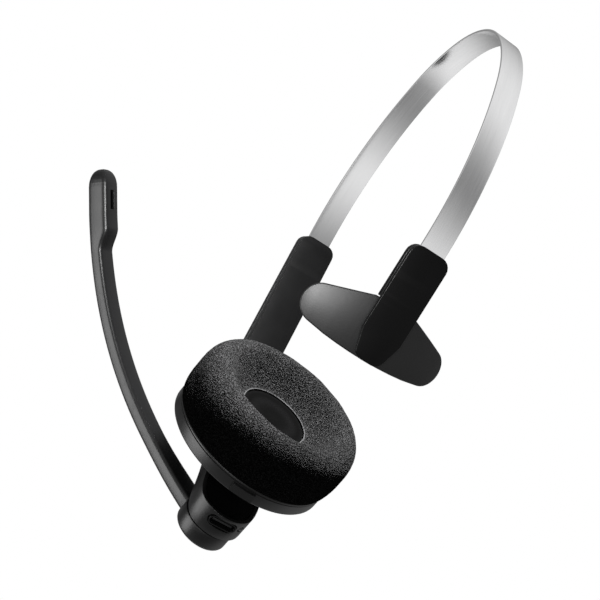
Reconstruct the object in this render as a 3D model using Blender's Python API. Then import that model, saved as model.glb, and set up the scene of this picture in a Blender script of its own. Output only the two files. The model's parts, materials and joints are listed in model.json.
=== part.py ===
"""One-ear office headset with a steel spring band, a folding ear cup and a turning microphone boom.

Blender 4.5. Run with: blender --background --python part.py
The origin is the crown of the band. +Z is up, -Y is the front, where the boom points, and the
ear cup hangs on the -X side. Sizes are named in millimetres and the meshes are made in metres.
"""
import math

import bmesh
import bpy
from mathutils import Matrix, Vector

MM = 0.001
GAP = 0.3                      # clearance between pieces that touch

# Spring band: a flat strip bent in three tangent arcs on each side, then a straight leg
STRIP_WIDTH = 8.0
STRIP_THICKNESS = 0.8
CROWN_RADIUS = 30.0
SHOULDER_RADIUS = 42.0
SIDE_RADIUS = 86.0
CROWN_END_DEG = 30.5
SHOULDER_END_DEG = 57.0
EAR_LEAN_DEG = 8.0             # how far the leg on the ear side leans inward
TEMPLE_LEAN_DEG = 3.2          # and the one on the temple side

# Arm sleeves on the two legs
ARM_WIDTH = 12.6
ARM_CORNER = 3.2
EAR_LEG_SHOWN = 1.2            # straight strip between the bends and the mouth of the ear arm
TEMPLE_LEG_SHOWN = 0.4         # and of the temple arm
EAR_ARM_HALF = 2.1             # half thickness of the ear arm at its mouth
EAR_ARM_TAPER = 0.031          # how fast its inner face moves away from the strip
SLIDE_TRAVEL = 25.0            # how far the ear arm can be pulled down along the strip
STRIP_GRIP = 11.5              # length of strip left inside the ear arm when it is pulled right down
STRIP_REACH = SLIDE_TRAVEL + STRIP_GRIP
ARM_WALL = 0.7                 # wall outside and inside the slide's cavity
BUSHING_LENGTH = 4.0
STOP_LENGTH = 3.0
STOP_WIDTH = 10.0
STOP_PIN_RADIUS = 1.0

# Temple arm and pad
TEMPLE_ARM_LENGTH = 34.5
TEMPLE_ARM_OUT = 1.5           # outer face, measured from the middle of the strip
TEMPLE_ARM_IN = 1.8            # inner face
TEMPLE_STRIP_REACH = 27.0
PAD_TOP = 17.6                 # mouth to the top of the pad
PAD_HEIGHT = 17.0
PAD_SPAN = 47.8
PAD_TIP_RADIUS = 5.7
PAD_THICKNESS = 1.2
PAD_BEND_RADIUS = 66.0
RIVET_RADIUS = 1.2
RIVET_HEAD_RADIUS = 2.0

# Fold hinge between the ear arm and the cup
HINGE_DROP = 63.2              # mouth to the hinge, along the leg
HINGE_INSET = 0.9              # hinge in front of the strip, toward the head
BARREL_RADIUS = 4.6
BARREL_HALF = 3.3
PIN_RADIUS = 1.2
WASHER_THICKNESS = 0.5
CUP_FACING_DEG = 65.0          # how far the cup faces upward at rest

# Ear cup: X points out of the cushion toward the ear, Z toward the hinge
HINGE_X = -9.8
HINGE_Z = 30.0
PLATE_RADIUS = 26.4
PLATE_DEPTH = 4.6
PLATE_WALL = 1.8
WEB_LOW = 2.0
WEB_HIGH = 3.4
FOAM_RADIUS = 27.5
FOAM_CREST = 21.7
FOAM_CREST_RADIUS = 21.1
FOAM_WAIST = 11.6              # height of the cushion's widest place
FOAM_SQUARENESS = 2.7          # 2 is an ellipse, more is squarer
FOAM_FLOOR = 13.5
FLOOR_RADIUS = 10.9
SPEAKER_HOUSING_RADIUS = 15.2
SPEAKER_HOUSING_TOP = 12.2
DRIVER_RADIUS = 13.6
MAGNET_RADIUS = 9.0

# Pod behind the plate
POD_HALF = 9.8
POD_TOP = 24.0
POD_WALL = 1.2
POD_FRONT_TOP = -3.8           # front of the pod behind the plate
POD_FRONT_LOW = -10.6          # front of its lower lobe
POD_REAR_TOP = -9.5
POD_REAR_LOW = -18.3
HUB_Z = -13.0                  # boom axis, below the middle of the plate
BOSS_RADIUS = 8.2
BOSS_END = -19.1
PORT_X = -13.4
PORT_WIDTH = 9.0
PORT_HEIGHT = 3.2
PORT_DEPTH = 7.0
PORT_WALL = 0.3
BOARD_RADIUS = 6.4
COVER_WALL = 1.2
POD_SCREW_SIDE = 6.2
POD_SCREW_Z = -0.6
POST_RADIUS = 2.0
SCREW_RADIUS = 0.9
SCREW_HEAD = 1.6

# Boom
HUB_RADIUS = 8.6
HUB_LENGTH = 5.8
RECESS_RADIUS = 5.8
RECESS_DEPTH = 1.4
AXLE_RADIUS = 3.0
BOOM_REST_DEG = 50.0           # boom above straight ahead, at rest
BOOM_REACH = 111.6
BOOM_RISE = 42.9
BOOM_CURVE = 2.6
MIC_REACH = BOOM_REACH - 7.0   # reach of the microphone
HEAD_LENGTH = 17.7
ROOT_WIDTH = 7.6
ROOT_THICKNESS = 5.2
ARM_SECTION_WIDTH = 6.2
ARM_SECTION_THICKNESS = 4.9
HEAD_WIDTH = 6.6
HEAD_THICKNESS = 8.2
BOOM_ROUNDNESS = 0.3           # corner radius as a share of the smaller side

# Buttons
BUTTON_LENGTH = 7.0
BUTTON_WIDTH = 3.6
BUTTON_PROUD = 0.7
BUTTON_PLACES = {"volume_up_button": 17.0, "volume_down_button": 11.4, "power_button": 5.8}
CALL_BUTTON_RADIUS = 5.4
CALL_BUTTON_HEIGHT = 1.2

MATERIALS = {
    "brushed_steel": ((0.72, 0.72, 0.73), 0.28, 1.0),
    "steel": ((0.55, 0.55, 0.56), 0.35, 1.0),
    "black_plastic": ((0.022, 0.022, 0.023), 0.38, 0.0),
    "soft_rubber": ((0.035, 0.035, 0.036), 0.55, 0.0),
    "foam": ((0.02, 0.02, 0.02), 0.95, 0.0),
    "cloth": ((0.015, 0.015, 0.015), 0.9, 0.0),
    "board_green": ((0.02, 0.12, 0.06), 0.5, 0.0),
    "cell_wrap": ((0.25, 0.27, 0.32), 0.4, 0.0),
    "light_clear": ((0.8, 0.85, 0.9), 0.2, 0.0),
}


# ---- making shapes -------------------------------------------------------------------------

def clear_scene():
    for item in list(bpy.data.objects):
        bpy.data.objects.remove(item, do_unlink=True)


def make_materials():
    made = {}
    for name, (colour, roughness, metallic) in MATERIALS.items():
        material = bpy.data.materials.new(name)
        material.use_nodes = True
        shader = material.node_tree.nodes["Principled BSDF"]
        shader.inputs["Base Color"].default_value = (*colour, 1.0)
        shader.inputs["Roughness"].default_value = roughness
        shader.inputs["Metallic"].default_value = metallic
        made[name] = material
    return made


def smoothstep(value):
    value = min(max(value, 0.0), 1.0)
    return value * value * (3.0 - 2.0 * value)


def arc(centre_u, centre_v, radius, start_deg, end_deg, steps):
    points = []
    for step in range(steps + 1):
        angle = math.radians(start_deg + (end_deg - start_deg) * step / steps)
        points.append((centre_u + radius * math.cos(angle), centre_v + radius * math.sin(angle)))
    return points


def prism(outline, axis, low, high):
    """Extrude a closed outline along one local axis. The outline's two values are the other
    two coordinates in X, Y, Z order."""
    bm = bmesh.new()
    order = {"X": lambda u, v, w: (w, u, v), "Y": lambda u, v, w: (u, w, v), "Z": lambda u, v, w: (u, v, w)}
    place = order[axis]
    face = bm.faces.new([bm.verts.new(place(u, v, low)) for u, v in outline])
    extruded = bmesh.ops.extrude_face_region(bm, geom=[face])
    moved = [item for item in extruded["geom"] if isinstance(item, bmesh.types.BMVert)]
    bmesh.ops.translate(bm, vec=Vector(place(0.0, 0.0, high - low)), verts=moved)
    bmesh.ops.recalc_face_normals(bm, faces=bm.faces)
    return bm


def box(x_low, x_high, y_low, y_high, z_low, z_high):
    return prism([(x_low, y_low), (x_high, y_low), (x_high, y_high), (x_low, y_high)], "Z", z_low, z_high)


def cylinder(axis, centre_u, centre_v, radius, low, high, steps=24):
    rim = arc(centre_u, centre_v, radius, 0.0, 360.0 * (steps - 1) / steps, steps - 1)
    return prism(rim, axis, low, high)


def turned(profile, steps=48):
    """Turn a profile of (along X, radius) about the local X axis. It is closed by the axis
    where both its ends lie on it, and otherwise by its own last edge."""
    bm = bmesh.new()
    points = [bm.verts.new((along, 0.0, radius)) for along, radius in profile]
    edges = [bm.edges.new(pair) for pair in zip(points, points[1:])]
    if profile[0][1] > 0.0 or profile[-1][1] > 0.0:
        edges.append(bm.edges.new((points[-1], points[0])))
    bmesh.ops.spin(bm, geom=points + edges, cent=(0, 0, 0), axis=(1, 0, 0), angle=math.tau,
                   steps=steps, use_merge=True)
    bmesh.ops.remove_doubles(bm, verts=bm.verts, dist=1e-5)
    bmesh.ops.dissolve_degenerate(bm, edges=bm.edges, dist=1e-6)
    bmesh.ops.recalc_face_normals(bm, faces=bm.faces)
    return bm


def rounded_box(width, height, radius, centre_u=0.0, centre_v=0.0, steps=4):
    outline = []
    for sign_u, sign_v, start in ((1, 1, 0), (-1, 1, 90), (-1, -1, 180), (1, -1, 270)):
        outline += arc(centre_u + sign_u * (width / 2 - radius), centre_v + sign_v * (height / 2 - radius),
                       radius, start, start + 90, steps)
    return outline


def to_object(name, bm, material=None, parent=None, location=(0.0, 0.0, 0.0)):
    bmesh.ops.scale(bm, vec=(MM, MM, MM), verts=bm.verts)
    mesh = bpy.data.meshes.new(name)
    bm.to_mesh(mesh)
    bm.free()
    mesh.shade_smooth()
    mesh.set_sharp_from_angle(angle=math.radians(32))
    item = bpy.data.objects.new(name, mesh)
    bpy.context.scene.collection.objects.link(item)
    if material:
        mesh.materials.append(material)
    item.parent = parent
    item.location = Vector(location) * MM
    return item


def combine(target, bm, operation):
    """Cut, trim or add to the target with a guide shape, which isn't part of the object."""
    name = f"{target.name}_guide_{len(target.modifiers)}"
    guide = to_object(name, bm, None, target.parent, target.location / MM)
    guide.hide_render = True
    guide.display_type = 'WIRE'
    modifier = target.modifiers.new(operation.lower(), 'BOOLEAN')
    modifier.operation = operation
    modifier.solver = 'EXACT'
    modifier.object = guide


def cut(target, bm):
    combine(target, bm, 'DIFFERENCE')


def keep_inside(target, bm):
    combine(target, bm, 'INTERSECT')


def add(target, bm):
    combine(target, bm, 'UNION')


def axis_empty(name, matrix, parent=None):
    empty = bpy.data.objects.new(name, None)
    bpy.context.scene.collection.objects.link(empty)
    empty.parent = parent
    empty.matrix_local = matrix
    empty.empty_display_size = 0.01
    return empty


# ---- the band's geometry -------------------------------------------------------------------

def band_side(lean_deg):
    """Points of the band's middle line from the crown to the end of the bends: (x, z, slope)."""
    points = [(0.0, 0.0, 0.0)]
    x, z, start = 0.0, 0.0, 0.0
    for radius, end, steps in ((CROWN_RADIUS, CROWN_END_DEG, 8), (SHOULDER_RADIUS, SHOULDER_END_DEG, 6),
                               (SIDE_RADIUS, 90.0 + lean_deg, 7)):
        centre_x = x - radius * math.sin(math.radians(start))
        centre_z = z - radius * math.cos(math.radians(start))
        for step in range(1, steps + 1):
            slope = math.radians(start + (end - start) * step / steps)
            points.append((centre_x + radius * math.sin(slope), centre_z + radius * math.cos(slope), slope))
        x, z, _ = points[-1]
        start = end
    return points


def leg_lean(side):
    return EAR_LEAN_DEG if side < 0 else TEMPLE_LEAN_DEG


def leg_point(side, drop):
    """Point (x, z) of a leg's middle line at a height below the crown. Side is -1 or 1, its place on X."""
    x, z, _ = band_side(leg_lean(side))[-1]
    return side * (x - (drop + z) * math.tan(math.radians(leg_lean(side)))), -drop


def mouth_drop(side):
    """Height below the crown of the mouth of a leg's arm, just past the end of the bends."""
    shown = EAR_LEG_SHOWN if side < 0 else TEMPLE_LEG_SHOWN
    return shown * math.cos(math.radians(leg_lean(side))) - band_side(leg_lean(side))[-1][1]


def leg_matrix(side):
    """Frame with Z up along a leg and X toward +X, at the mouth of its arm."""
    x, z = leg_point(side, mouth_drop(side))
    return Matrix.Translation(Vector((x, 0, z)) * MM) @ Matrix.Rotation(
        math.radians(side * leg_lean(side)), 4, 'Y')


def leg_end(side):
    """Height below the crown of the end of a leg's strip."""
    reach = STRIP_REACH if side < 0 else TEMPLE_STRIP_REACH
    return mouth_drop(side) + reach * math.cos(math.radians(leg_lean(side)))


def make_strip(material):
    half_line = {side: band_side(leg_lean(side)) for side in (-1, 1)}
    middle = [(*leg_point(1, leg_end(1)), math.radians(90.0 + TEMPLE_LEAN_DEG))] + half_line[1][::-1]
    middle += [(-x, z, -slope) for x, z, slope in half_line[-1][1:]]
    middle.append((*leg_point(-1, leg_end(-1)), -math.radians(90.0 + EAR_LEAN_DEG)))
    half = STRIP_THICKNESS / 2
    outer = [(x + half * math.sin(slope), z + half * math.cos(slope)) for x, z, slope in middle]
    inner = [(x - half * math.sin(slope), z - half * math.cos(slope)) for x, z, slope in middle]
    body = prism(outer + inner[::-1], "Y", -STRIP_WIDTH / 2, STRIP_WIDTH / 2)
    strip = to_object("headband_strip", body, material)
    for drop in rivet_drops():
        x, z = leg_point(1, mouth_drop(1) + drop)
        cut(strip, cylinder("X", 0.0, z, RIVET_RADIUS + GAP, x - 3, x + 3, 16))
    x, z = leg_point(-1, leg_end(-1) - STOP_LENGTH / 2)
    cut(strip, cylinder("X", 0.0, z, STOP_PIN_RADIUS + GAP, x - 3, x + 3, 12))


# ---- temple arm ----------------------------------------------------------------------------

def rivet_drops():
    return (TEMPLE_STRIP_REACH - 7.0, TEMPLE_STRIP_REACH - 2.8)


def temple_outline():
    """Round-cornered top, tapered round foot: (y, z) below the mouth."""
    half = ARM_WIDTH / 2
    foot_half = half - 1.6
    foot_corner = 3.0
    outline = arc(half - ARM_CORNER, -ARM_CORNER, ARM_CORNER, 0, 90, 5)
    outline += arc(-half + ARM_CORNER, -ARM_CORNER, ARM_CORNER, 90, 180, 5)
    outline.append((-half, -TEMPLE_ARM_LENGTH + 8.0))
    outline += arc(-foot_half + foot_corner, -TEMPLE_ARM_LENGTH + foot_corner, foot_corner, 190, 270, 5)
    outline += arc(foot_half - foot_corner, -TEMPLE_ARM_LENGTH + foot_corner, foot_corner, 270, 350, 5)
    outline.append((half, -TEMPLE_ARM_LENGTH + 8.0))
    return outline


def strip_slot(reach, top=2.0):
    half_width = STRIP_WIDTH / 2 + GAP
    half_thick = STRIP_THICKNESS / 2 + GAP
    return box(-half_thick, half_thick, -half_width, half_width, -reach, top)


def pad_outline():
    """Two round-tipped lobes: (y, z) below the mouth."""
    half = PAD_SPAN / 2
    bottom = -PAD_TOP - PAD_HEIGHT
    tip_y, tip_z = half - PAD_TIP_RADIUS, bottom + PAD_TIP_RADIUS + 1.4
    right = arc(tip_y, tip_z, PAD_TIP_RADIUS, -84, 66, 10)
    neck = ARM_WIDTH / 2 + 0.2
    right += [(neck + 3.0, -PAD_TOP - 1.4), (neck, -PAD_TOP)]
    belly = [(tip_y * share, bottom + 1.2 * share * share) for share in (0.0, 0.25, 0.5, 0.75)]
    left = [(-y, z) for y, z in right[::-1]]
    return belly + right + left + [(-y, z) for y, z in belly[:0:-1]]


def make_temple(frame, materials):
    split = GAP / 2
    shell = prism(temple_outline(), "X", split, TEMPLE_ARM_OUT)
    outer = to_object("temple_arm_outer", shell, materials["black_plastic"], frame)
    cut(outer, strip_slot(TEMPLE_STRIP_REACH + 0.6))
    pad_outer = -TEMPLE_ARM_IN + PAD_THICKNESS
    for drop in rivet_drops():
        cut(outer, cylinder("X", 0.0, -drop, RIVET_HEAD_RADIUS + GAP, -1.0, TEMPLE_ARM_OUT - 0.35, 16))

    top_only = [point for point in temple_outline() if point[1] > -PAD_TOP]
    top_only.sort(key=lambda point: math.atan2(point[1] + PAD_TOP, point[0]))
    half = ARM_WIDTH / 2
    floor = -PAD_TOP + GAP
    inner_outline = [(half, floor)] + top_only + [(-half, floor)]
    inner = to_object("temple_arm_inner", prism(inner_outline, "X", -TEMPLE_ARM_IN, -split),
                      materials["black_plastic"], frame)
    cut(inner, strip_slot(PAD_TOP + 2.0))

    centre = pad_outer - PAD_BEND_RADIUS
    spread = math.degrees((PAD_SPAN / 2 + 4.0) / PAD_BEND_RADIUS)
    slab = arc(centre, 0.0, PAD_BEND_RADIUS, -spread, spread, 24)
    slab += arc(centre, 0.0, PAD_BEND_RADIUS - PAD_THICKNESS, spread, -spread, 24)
    pad = to_object("temple_pad", prism(slab, "Z", -PAD_TOP - PAD_HEIGHT - 2, -PAD_TOP + 2),
                    materials["soft_rubber"], frame)
    keep_inside(pad, prism(pad_outline(), "X", centre - 5, pad_outer + 5))
    for drop in rivet_drops():
        cut(pad, cylinder("X", 0.0, -drop, RIVET_RADIUS + GAP, -8.0, 2.0, 16))

    for name, drop in zip(("temple_rivet_upper", "temple_rivet_lower"), rivet_drops()):
        head_low = STRIP_THICKNESS / 2 + GAP / 2
        profile = [(-TEMPLE_ARM_IN - GAP - 0.5, 0.0), (-TEMPLE_ARM_IN - GAP - 0.5, RIVET_HEAD_RADIUS),
                   (-TEMPLE_ARM_IN - GAP, RIVET_HEAD_RADIUS), (-TEMPLE_ARM_IN - GAP, RIVET_RADIUS),
                   (head_low, RIVET_RADIUS), (head_low, RIVET_HEAD_RADIUS),
                   (head_low + 0.3, RIVET_HEAD_RADIUS), (head_low + 0.3, 0.0)]
        to_object(name, turned(profile, 16), materials["steel"], frame, (0.0, 0.0, -drop))


# ---- ear arm -------------------------------------------------------------------------------

def ear_arm_face(drop):
    """Distance of the ear arm's inner face from the strip, at a distance below the mouth."""
    return EAR_ARM_HALF + EAR_ARM_TAPER * drop


def ear_arm_profile():
    """Side view (x, z): straight outer face, sloping inner face and the hinge barrel."""
    wide = HINGE_DROP - 12.9
    outline = [(-EAR_ARM_HALF, 0.0), (ear_arm_face(0.0), 0.0), (ear_arm_face(wide), -wide)]
    outline += arc(HINGE_INSET, -HINGE_DROP, BARREL_RADIUS, 28, -205, 18)
    outline.append((-EAR_ARM_HALF, -HINGE_DROP + 9.0))
    return outline


def ear_arm_front():
    """Front view (y, z): round corners at the mouth, straight sides."""
    half = ARM_WIDTH / 2
    low = -HINGE_DROP - BARREL_RADIUS - 2.0
    outline = arc(half - ARM_CORNER, -ARM_CORNER, ARM_CORNER, 0, 90, 5)
    outline += arc(-half + ARM_CORNER, -ARM_CORNER, ARM_CORNER, 90, 180, 5)
    return outline + [(-half, low), (half, low)]


def slide_cavity():
    half_width = STOP_WIDTH / 2 + GAP + 0.1
    half_thick = EAR_ARM_HALF - ARM_WALL
    return box(-half_thick, half_thick, -half_width, half_width, -STRIP_REACH - 1.0, -1.2)


def screw_drops():
    return (HINGE_DROP - 20.5, HINGE_DROP - 11.8)


def make_ear_arm(frame, materials):
    """Two half shells about the strip. The outer one ends above the hinge barrel."""
    split = GAP / 2
    half = ARM_WIDTH / 2
    seam = -HINGE_DROP + 8.0
    below = -HINGE_DROP - BARREL_RADIUS - 3.0
    shells = {}
    for name, high in (("ear_arm_outer", -split), ("ear_arm_inner", 30.0)):
        body = prism(ear_arm_profile(), "Y", -half, half)
        shell = to_object(name, body, materials["black_plastic"], frame)
        keep_inside(shell, prism(ear_arm_front(), "X", -9.0, high))
        shells[name] = shell
    outer, inner = shells["ear_arm_outer"], shells["ear_arm_inner"]
    cut(outer, box(-10.0, 1.0, -half - 1, half + 1, below, seam + GAP))
    cut(inner, box(-10.0, split, -half - 1, half + 1, seam, 1.0))
    for shell in shells.values():
        cut(shell, strip_slot(3.0))
        cut(shell, slide_cavity())
    clear = BARREL_RADIUS + 0.6
    washer_side = BARREL_HALF - WASHER_THICKNESS - GAP
    cut(inner, cylinder("Y", HINGE_INSET, -HINGE_DROP, clear, washer_side, half + 1, 32))
    cut(inner, cylinder("Y", HINGE_INSET, -HINGE_DROP, clear, -half - 1, -BARREL_HALF, 32))
    cut(inner, cylinder("Y", HINGE_INSET, -HINGE_DROP, PIN_RADIUS + GAP, -half, half, 16))

    face, screw_end, head_height = -EAR_ARM_HALF + 0.25, 2.2, 1.0
    for name, drop in zip(("arm_screw_upper", "arm_screw_lower"), screw_drops()):
        for shell in shells.values():
            cut(shell, cylinder("X", 0.0, -drop, SCREW_RADIUS + GAP, -4.0, screw_end + GAP, 12))
        cut(outer, cylinder("X", 0.0, -drop, SCREW_HEAD + GAP, -9.0, face + head_height, 16))
        head_low, head_high = face - GAP + 0.1, face + head_height - GAP
        profile = [(head_low, 0.0), (head_low, SCREW_HEAD), (head_high, SCREW_HEAD),
                   (head_high, SCREW_RADIUS), (screw_end, SCREW_RADIUS), (screw_end, 0.0)]
        to_object(name, turned(profile, 16), materials["steel"], frame, (0.0, 0.0, -drop))

    outline = rounded_box(STOP_WIDTH, 2 * (EAR_ARM_HALF - ARM_WALL - GAP), 0.6)
    bushing = prism([(thick, wide) for wide, thick in outline], "Z", -1.5 - BUSHING_LENGTH, -1.5)
    bushing = to_object("slide_bushing", bushing, materials["black_plastic"], frame)
    cut(bushing, strip_slot(10.0))


def make_end_stop(frame, materials):
    """Clip pinned to the end of the strip, inside the ear arm."""
    half_thick = EAR_ARM_HALF - ARM_WALL - GAP
    top = -STRIP_REACH + STOP_LENGTH
    stop = to_object("strip_end_stop", box(-half_thick, half_thick, -STOP_WIDTH / 2, STOP_WIDTH / 2,
                                           -STRIP_REACH - 0.6, top), materials["black_plastic"], frame)
    cut(stop, box(-STRIP_THICKNESS / 2 - GAP / 2, STRIP_THICKNESS / 2 + GAP / 2, -STRIP_WIDTH / 2 - GAP,
                  STRIP_WIDTH / 2 + GAP, -STRIP_REACH - GAP, top + 1))
    add(stop, cylinder("X", 0.0, -STRIP_REACH + STOP_LENGTH / 2, STOP_PIN_RADIUS,
                       -half_thick + 0.2, half_thick - 0.2, 12))


# ---- ear cup -------------------------------------------------------------------------------

def make_plate(frame, materials):
    inner = PLATE_RADIUS - PLATE_WALL
    hole = SPEAKER_HOUSING_RADIUS - 1.6
    profile = [(0.3, PLATE_RADIUS), (PLATE_DEPTH - 0.3, PLATE_RADIUS), (PLATE_DEPTH, PLATE_RADIUS - 0.3),
               (PLATE_DEPTH, inner), (WEB_HIGH, inner), (WEB_HIGH, hole), (WEB_LOW, hole), (WEB_LOW, inner),
               (0.0, inner), (0.0, PLATE_RADIUS - 0.3)]
    to_object("ear_plate", turned(profile, 64), materials["black_plastic"], frame)


def make_back_cover(frame, materials):
    rim = PLATE_RADIUS - PLATE_WALL - GAP
    deep = POD_FRONT_TOP + GAP
    profile = [(WEB_LOW - GAP, rim), (0.2, rim), (deep + 1.0, 19.5), (deep, 15.0), (deep, 4.0),
               (deep + COVER_WALL, 4.0), (deep + COVER_WALL, 14.6), (deep + COVER_WALL + 1.0, 19.0),
               (1.0, rim - 1.4), (WEB_LOW - GAP, rim - 1.4)]
    cover = to_object("back_cover", turned(profile, 48), materials["black_plastic"], frame)
    for side in (-POD_SCREW_SIDE, POD_SCREW_SIDE):
        cut(cover, cylinder("X", side, POD_SCREW_Z, SCREW_RADIUS + GAP, deep - 1.0, deep + 3.0, 12))


def make_speaker(frame, materials):
    radius, top = SPEAKER_HOUSING_RADIUS, SPEAKER_HOUSING_TOP
    low = WEB_HIGH + GAP
    profile = [(low, radius), (top, radius), (top, 7.0), (top - 1.2, 7.0), (top - 1.2, radius - 1.2),
               (low, radius - 1.2)]
    to_object("speaker_housing", turned(profile, 40), materials["black_plastic"], frame)
    front = top - 1.2 - GAP
    profile = [(front, 0.0), (front, DRIVER_RADIUS), (front - 1.2, DRIVER_RADIUS), (front - 3.2, 10.0),
               (front - 3.2, 0.0)]
    to_object("speaker_driver", turned(profile, 32), materials["steel"], frame)
    magnet = front - 3.2 - GAP
    profile = [(magnet, 0.0), (magnet, MAGNET_RADIUS), (magnet - 3.0, MAGNET_RADIUS), (magnet - 3.0, 0.0)]
    to_object("speaker_magnet", turned(profile, 32), materials["steel"], frame)
    cloth_low = top + GAP
    profile = [(cloth_low, 0.0), (FOAM_FLOOR, 0.0), (FOAM_FLOOR, FLOOR_RADIUS - GAP),
               (cloth_low, FLOOR_RADIUS - GAP)]
    to_object("speaker_cloth", turned(profile, 40), materials["cloth"], frame)


def foam_outside(share):
    """Point of the cushion's bulging side, from its base (share 0) over to its crest (share 1)."""
    low = PLATE_DEPTH + GAP
    height, width = FOAM_CREST - FOAM_WAIST, FOAM_RADIUS - FOAM_CREST_RADIUS
    start = -math.asin(((FOAM_WAIST - low) / height) ** (FOAM_SQUARENESS / 2))
    angle = start + (0.5 * math.pi - start) * share
    rise = math.copysign(abs(math.sin(angle)) ** (2 / FOAM_SQUARENESS), angle)
    return FOAM_WAIST + height * rise, FOAM_CREST_RADIUS + width * math.cos(angle) ** (2 / FOAM_SQUARENESS)


def foam_profile():
    """Closed section of the cushion, (along X, radius), with a dished middle."""
    low = PLATE_DEPTH + GAP
    outline = [foam_outside(step / 10) for step in range(11)]
    for step in range(1, 7):
        share = step / 6
        outline.append((FOAM_CREST - (FOAM_CREST - FOAM_FLOOR) * smoothstep(share),
                        FOAM_CREST_RADIUS - (FOAM_CREST_RADIUS - FLOOR_RADIUS) * share))
    under = SPEAKER_HOUSING_TOP + GAP
    return outline + [(under, FLOOR_RADIUS), (under, SPEAKER_HOUSING_RADIUS + GAP),
                      (low, SPEAKER_HOUSING_RADIUS + GAP)]


def make_foam(frame, materials):
    to_object("foam_cushion", turned(foam_profile(), 48), materials["foam"], frame)


# ---- pod -----------------------------------------------------------------------------------

def pod_front(z):
    return POD_FRONT_TOP + (POD_FRONT_LOW - POD_FRONT_TOP) * smoothstep((HUB_Z + 10.0 - z) / 16.0)


def pod_rear(z):
    return POD_REAR_TOP + (POD_REAR_LOW - POD_REAR_TOP) * smoothstep((HUB_Z + 11.0 - z) / 18.0)


def pod_line(depth):
    """Side view (x, z) of the front or rear line, from above the pod's top to below its foot."""
    heights = [POD_TOP + 6.0] + [HUB_Z + 12.0 - 2.0 * step for step in range(13)] + [HUB_Z - POD_HALF - 4.0]
    return [(depth(z), z) for z in heights]


def pod_profile(front_offset, rear_offset):
    """Side view (x, z) between the front line and the rear line, each moved by an offset."""
    front = [(x + front_offset, z) for x, z in pod_line(pod_front)]
    rear = [(x + rear_offset, z) for x, z in reversed(pod_line(pod_rear))]
    return front + rear


def pod_outline(inset):
    """Back view (y, z): round foot about the boom axis, straight sides, round top corners."""
    half = POD_HALF - inset
    corner = 4.0
    top = POD_TOP - inset
    outline = arc(0.0, HUB_Z, half, 180, 360, 20)
    outline += arc(half - corner, top - corner, corner, 0, 90, 4)
    outline += arc(-half + corner, top - corner, corner, 90, 180, 4)
    return outline


def lug_outline():
    outline = arc(HINGE_X, HINGE_Z, BARREL_RADIUS, -50, 190, 20)
    return outline + [(POD_REAR_TOP, POD_TOP - 3.0), (POD_FRONT_TOP - 0.4, POD_TOP - 3.0)]


def port_shape(margin, z_low, z_high):
    width, height = PORT_WIDTH + 2 * margin, PORT_HEIGHT + 2 * margin
    outline = rounded_box(height, width, height / 2 - 0.05, PORT_X, 0.0, 5)
    return prism(outline, "Z", z_low, z_high)


def light_place():
    side = PORT_WIDTH / 2 + 1.9
    return side, HUB_Z - math.sqrt(POD_HALF ** 2 - side ** 2)


def button_outline(margin, z):
    length, width = BUTTON_LENGTH + 2 * margin, BUTTON_WIDTH + 2 * margin
    return rounded_box(length, width, width / 2 - 0.05, 0.0, z, 4)


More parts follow.
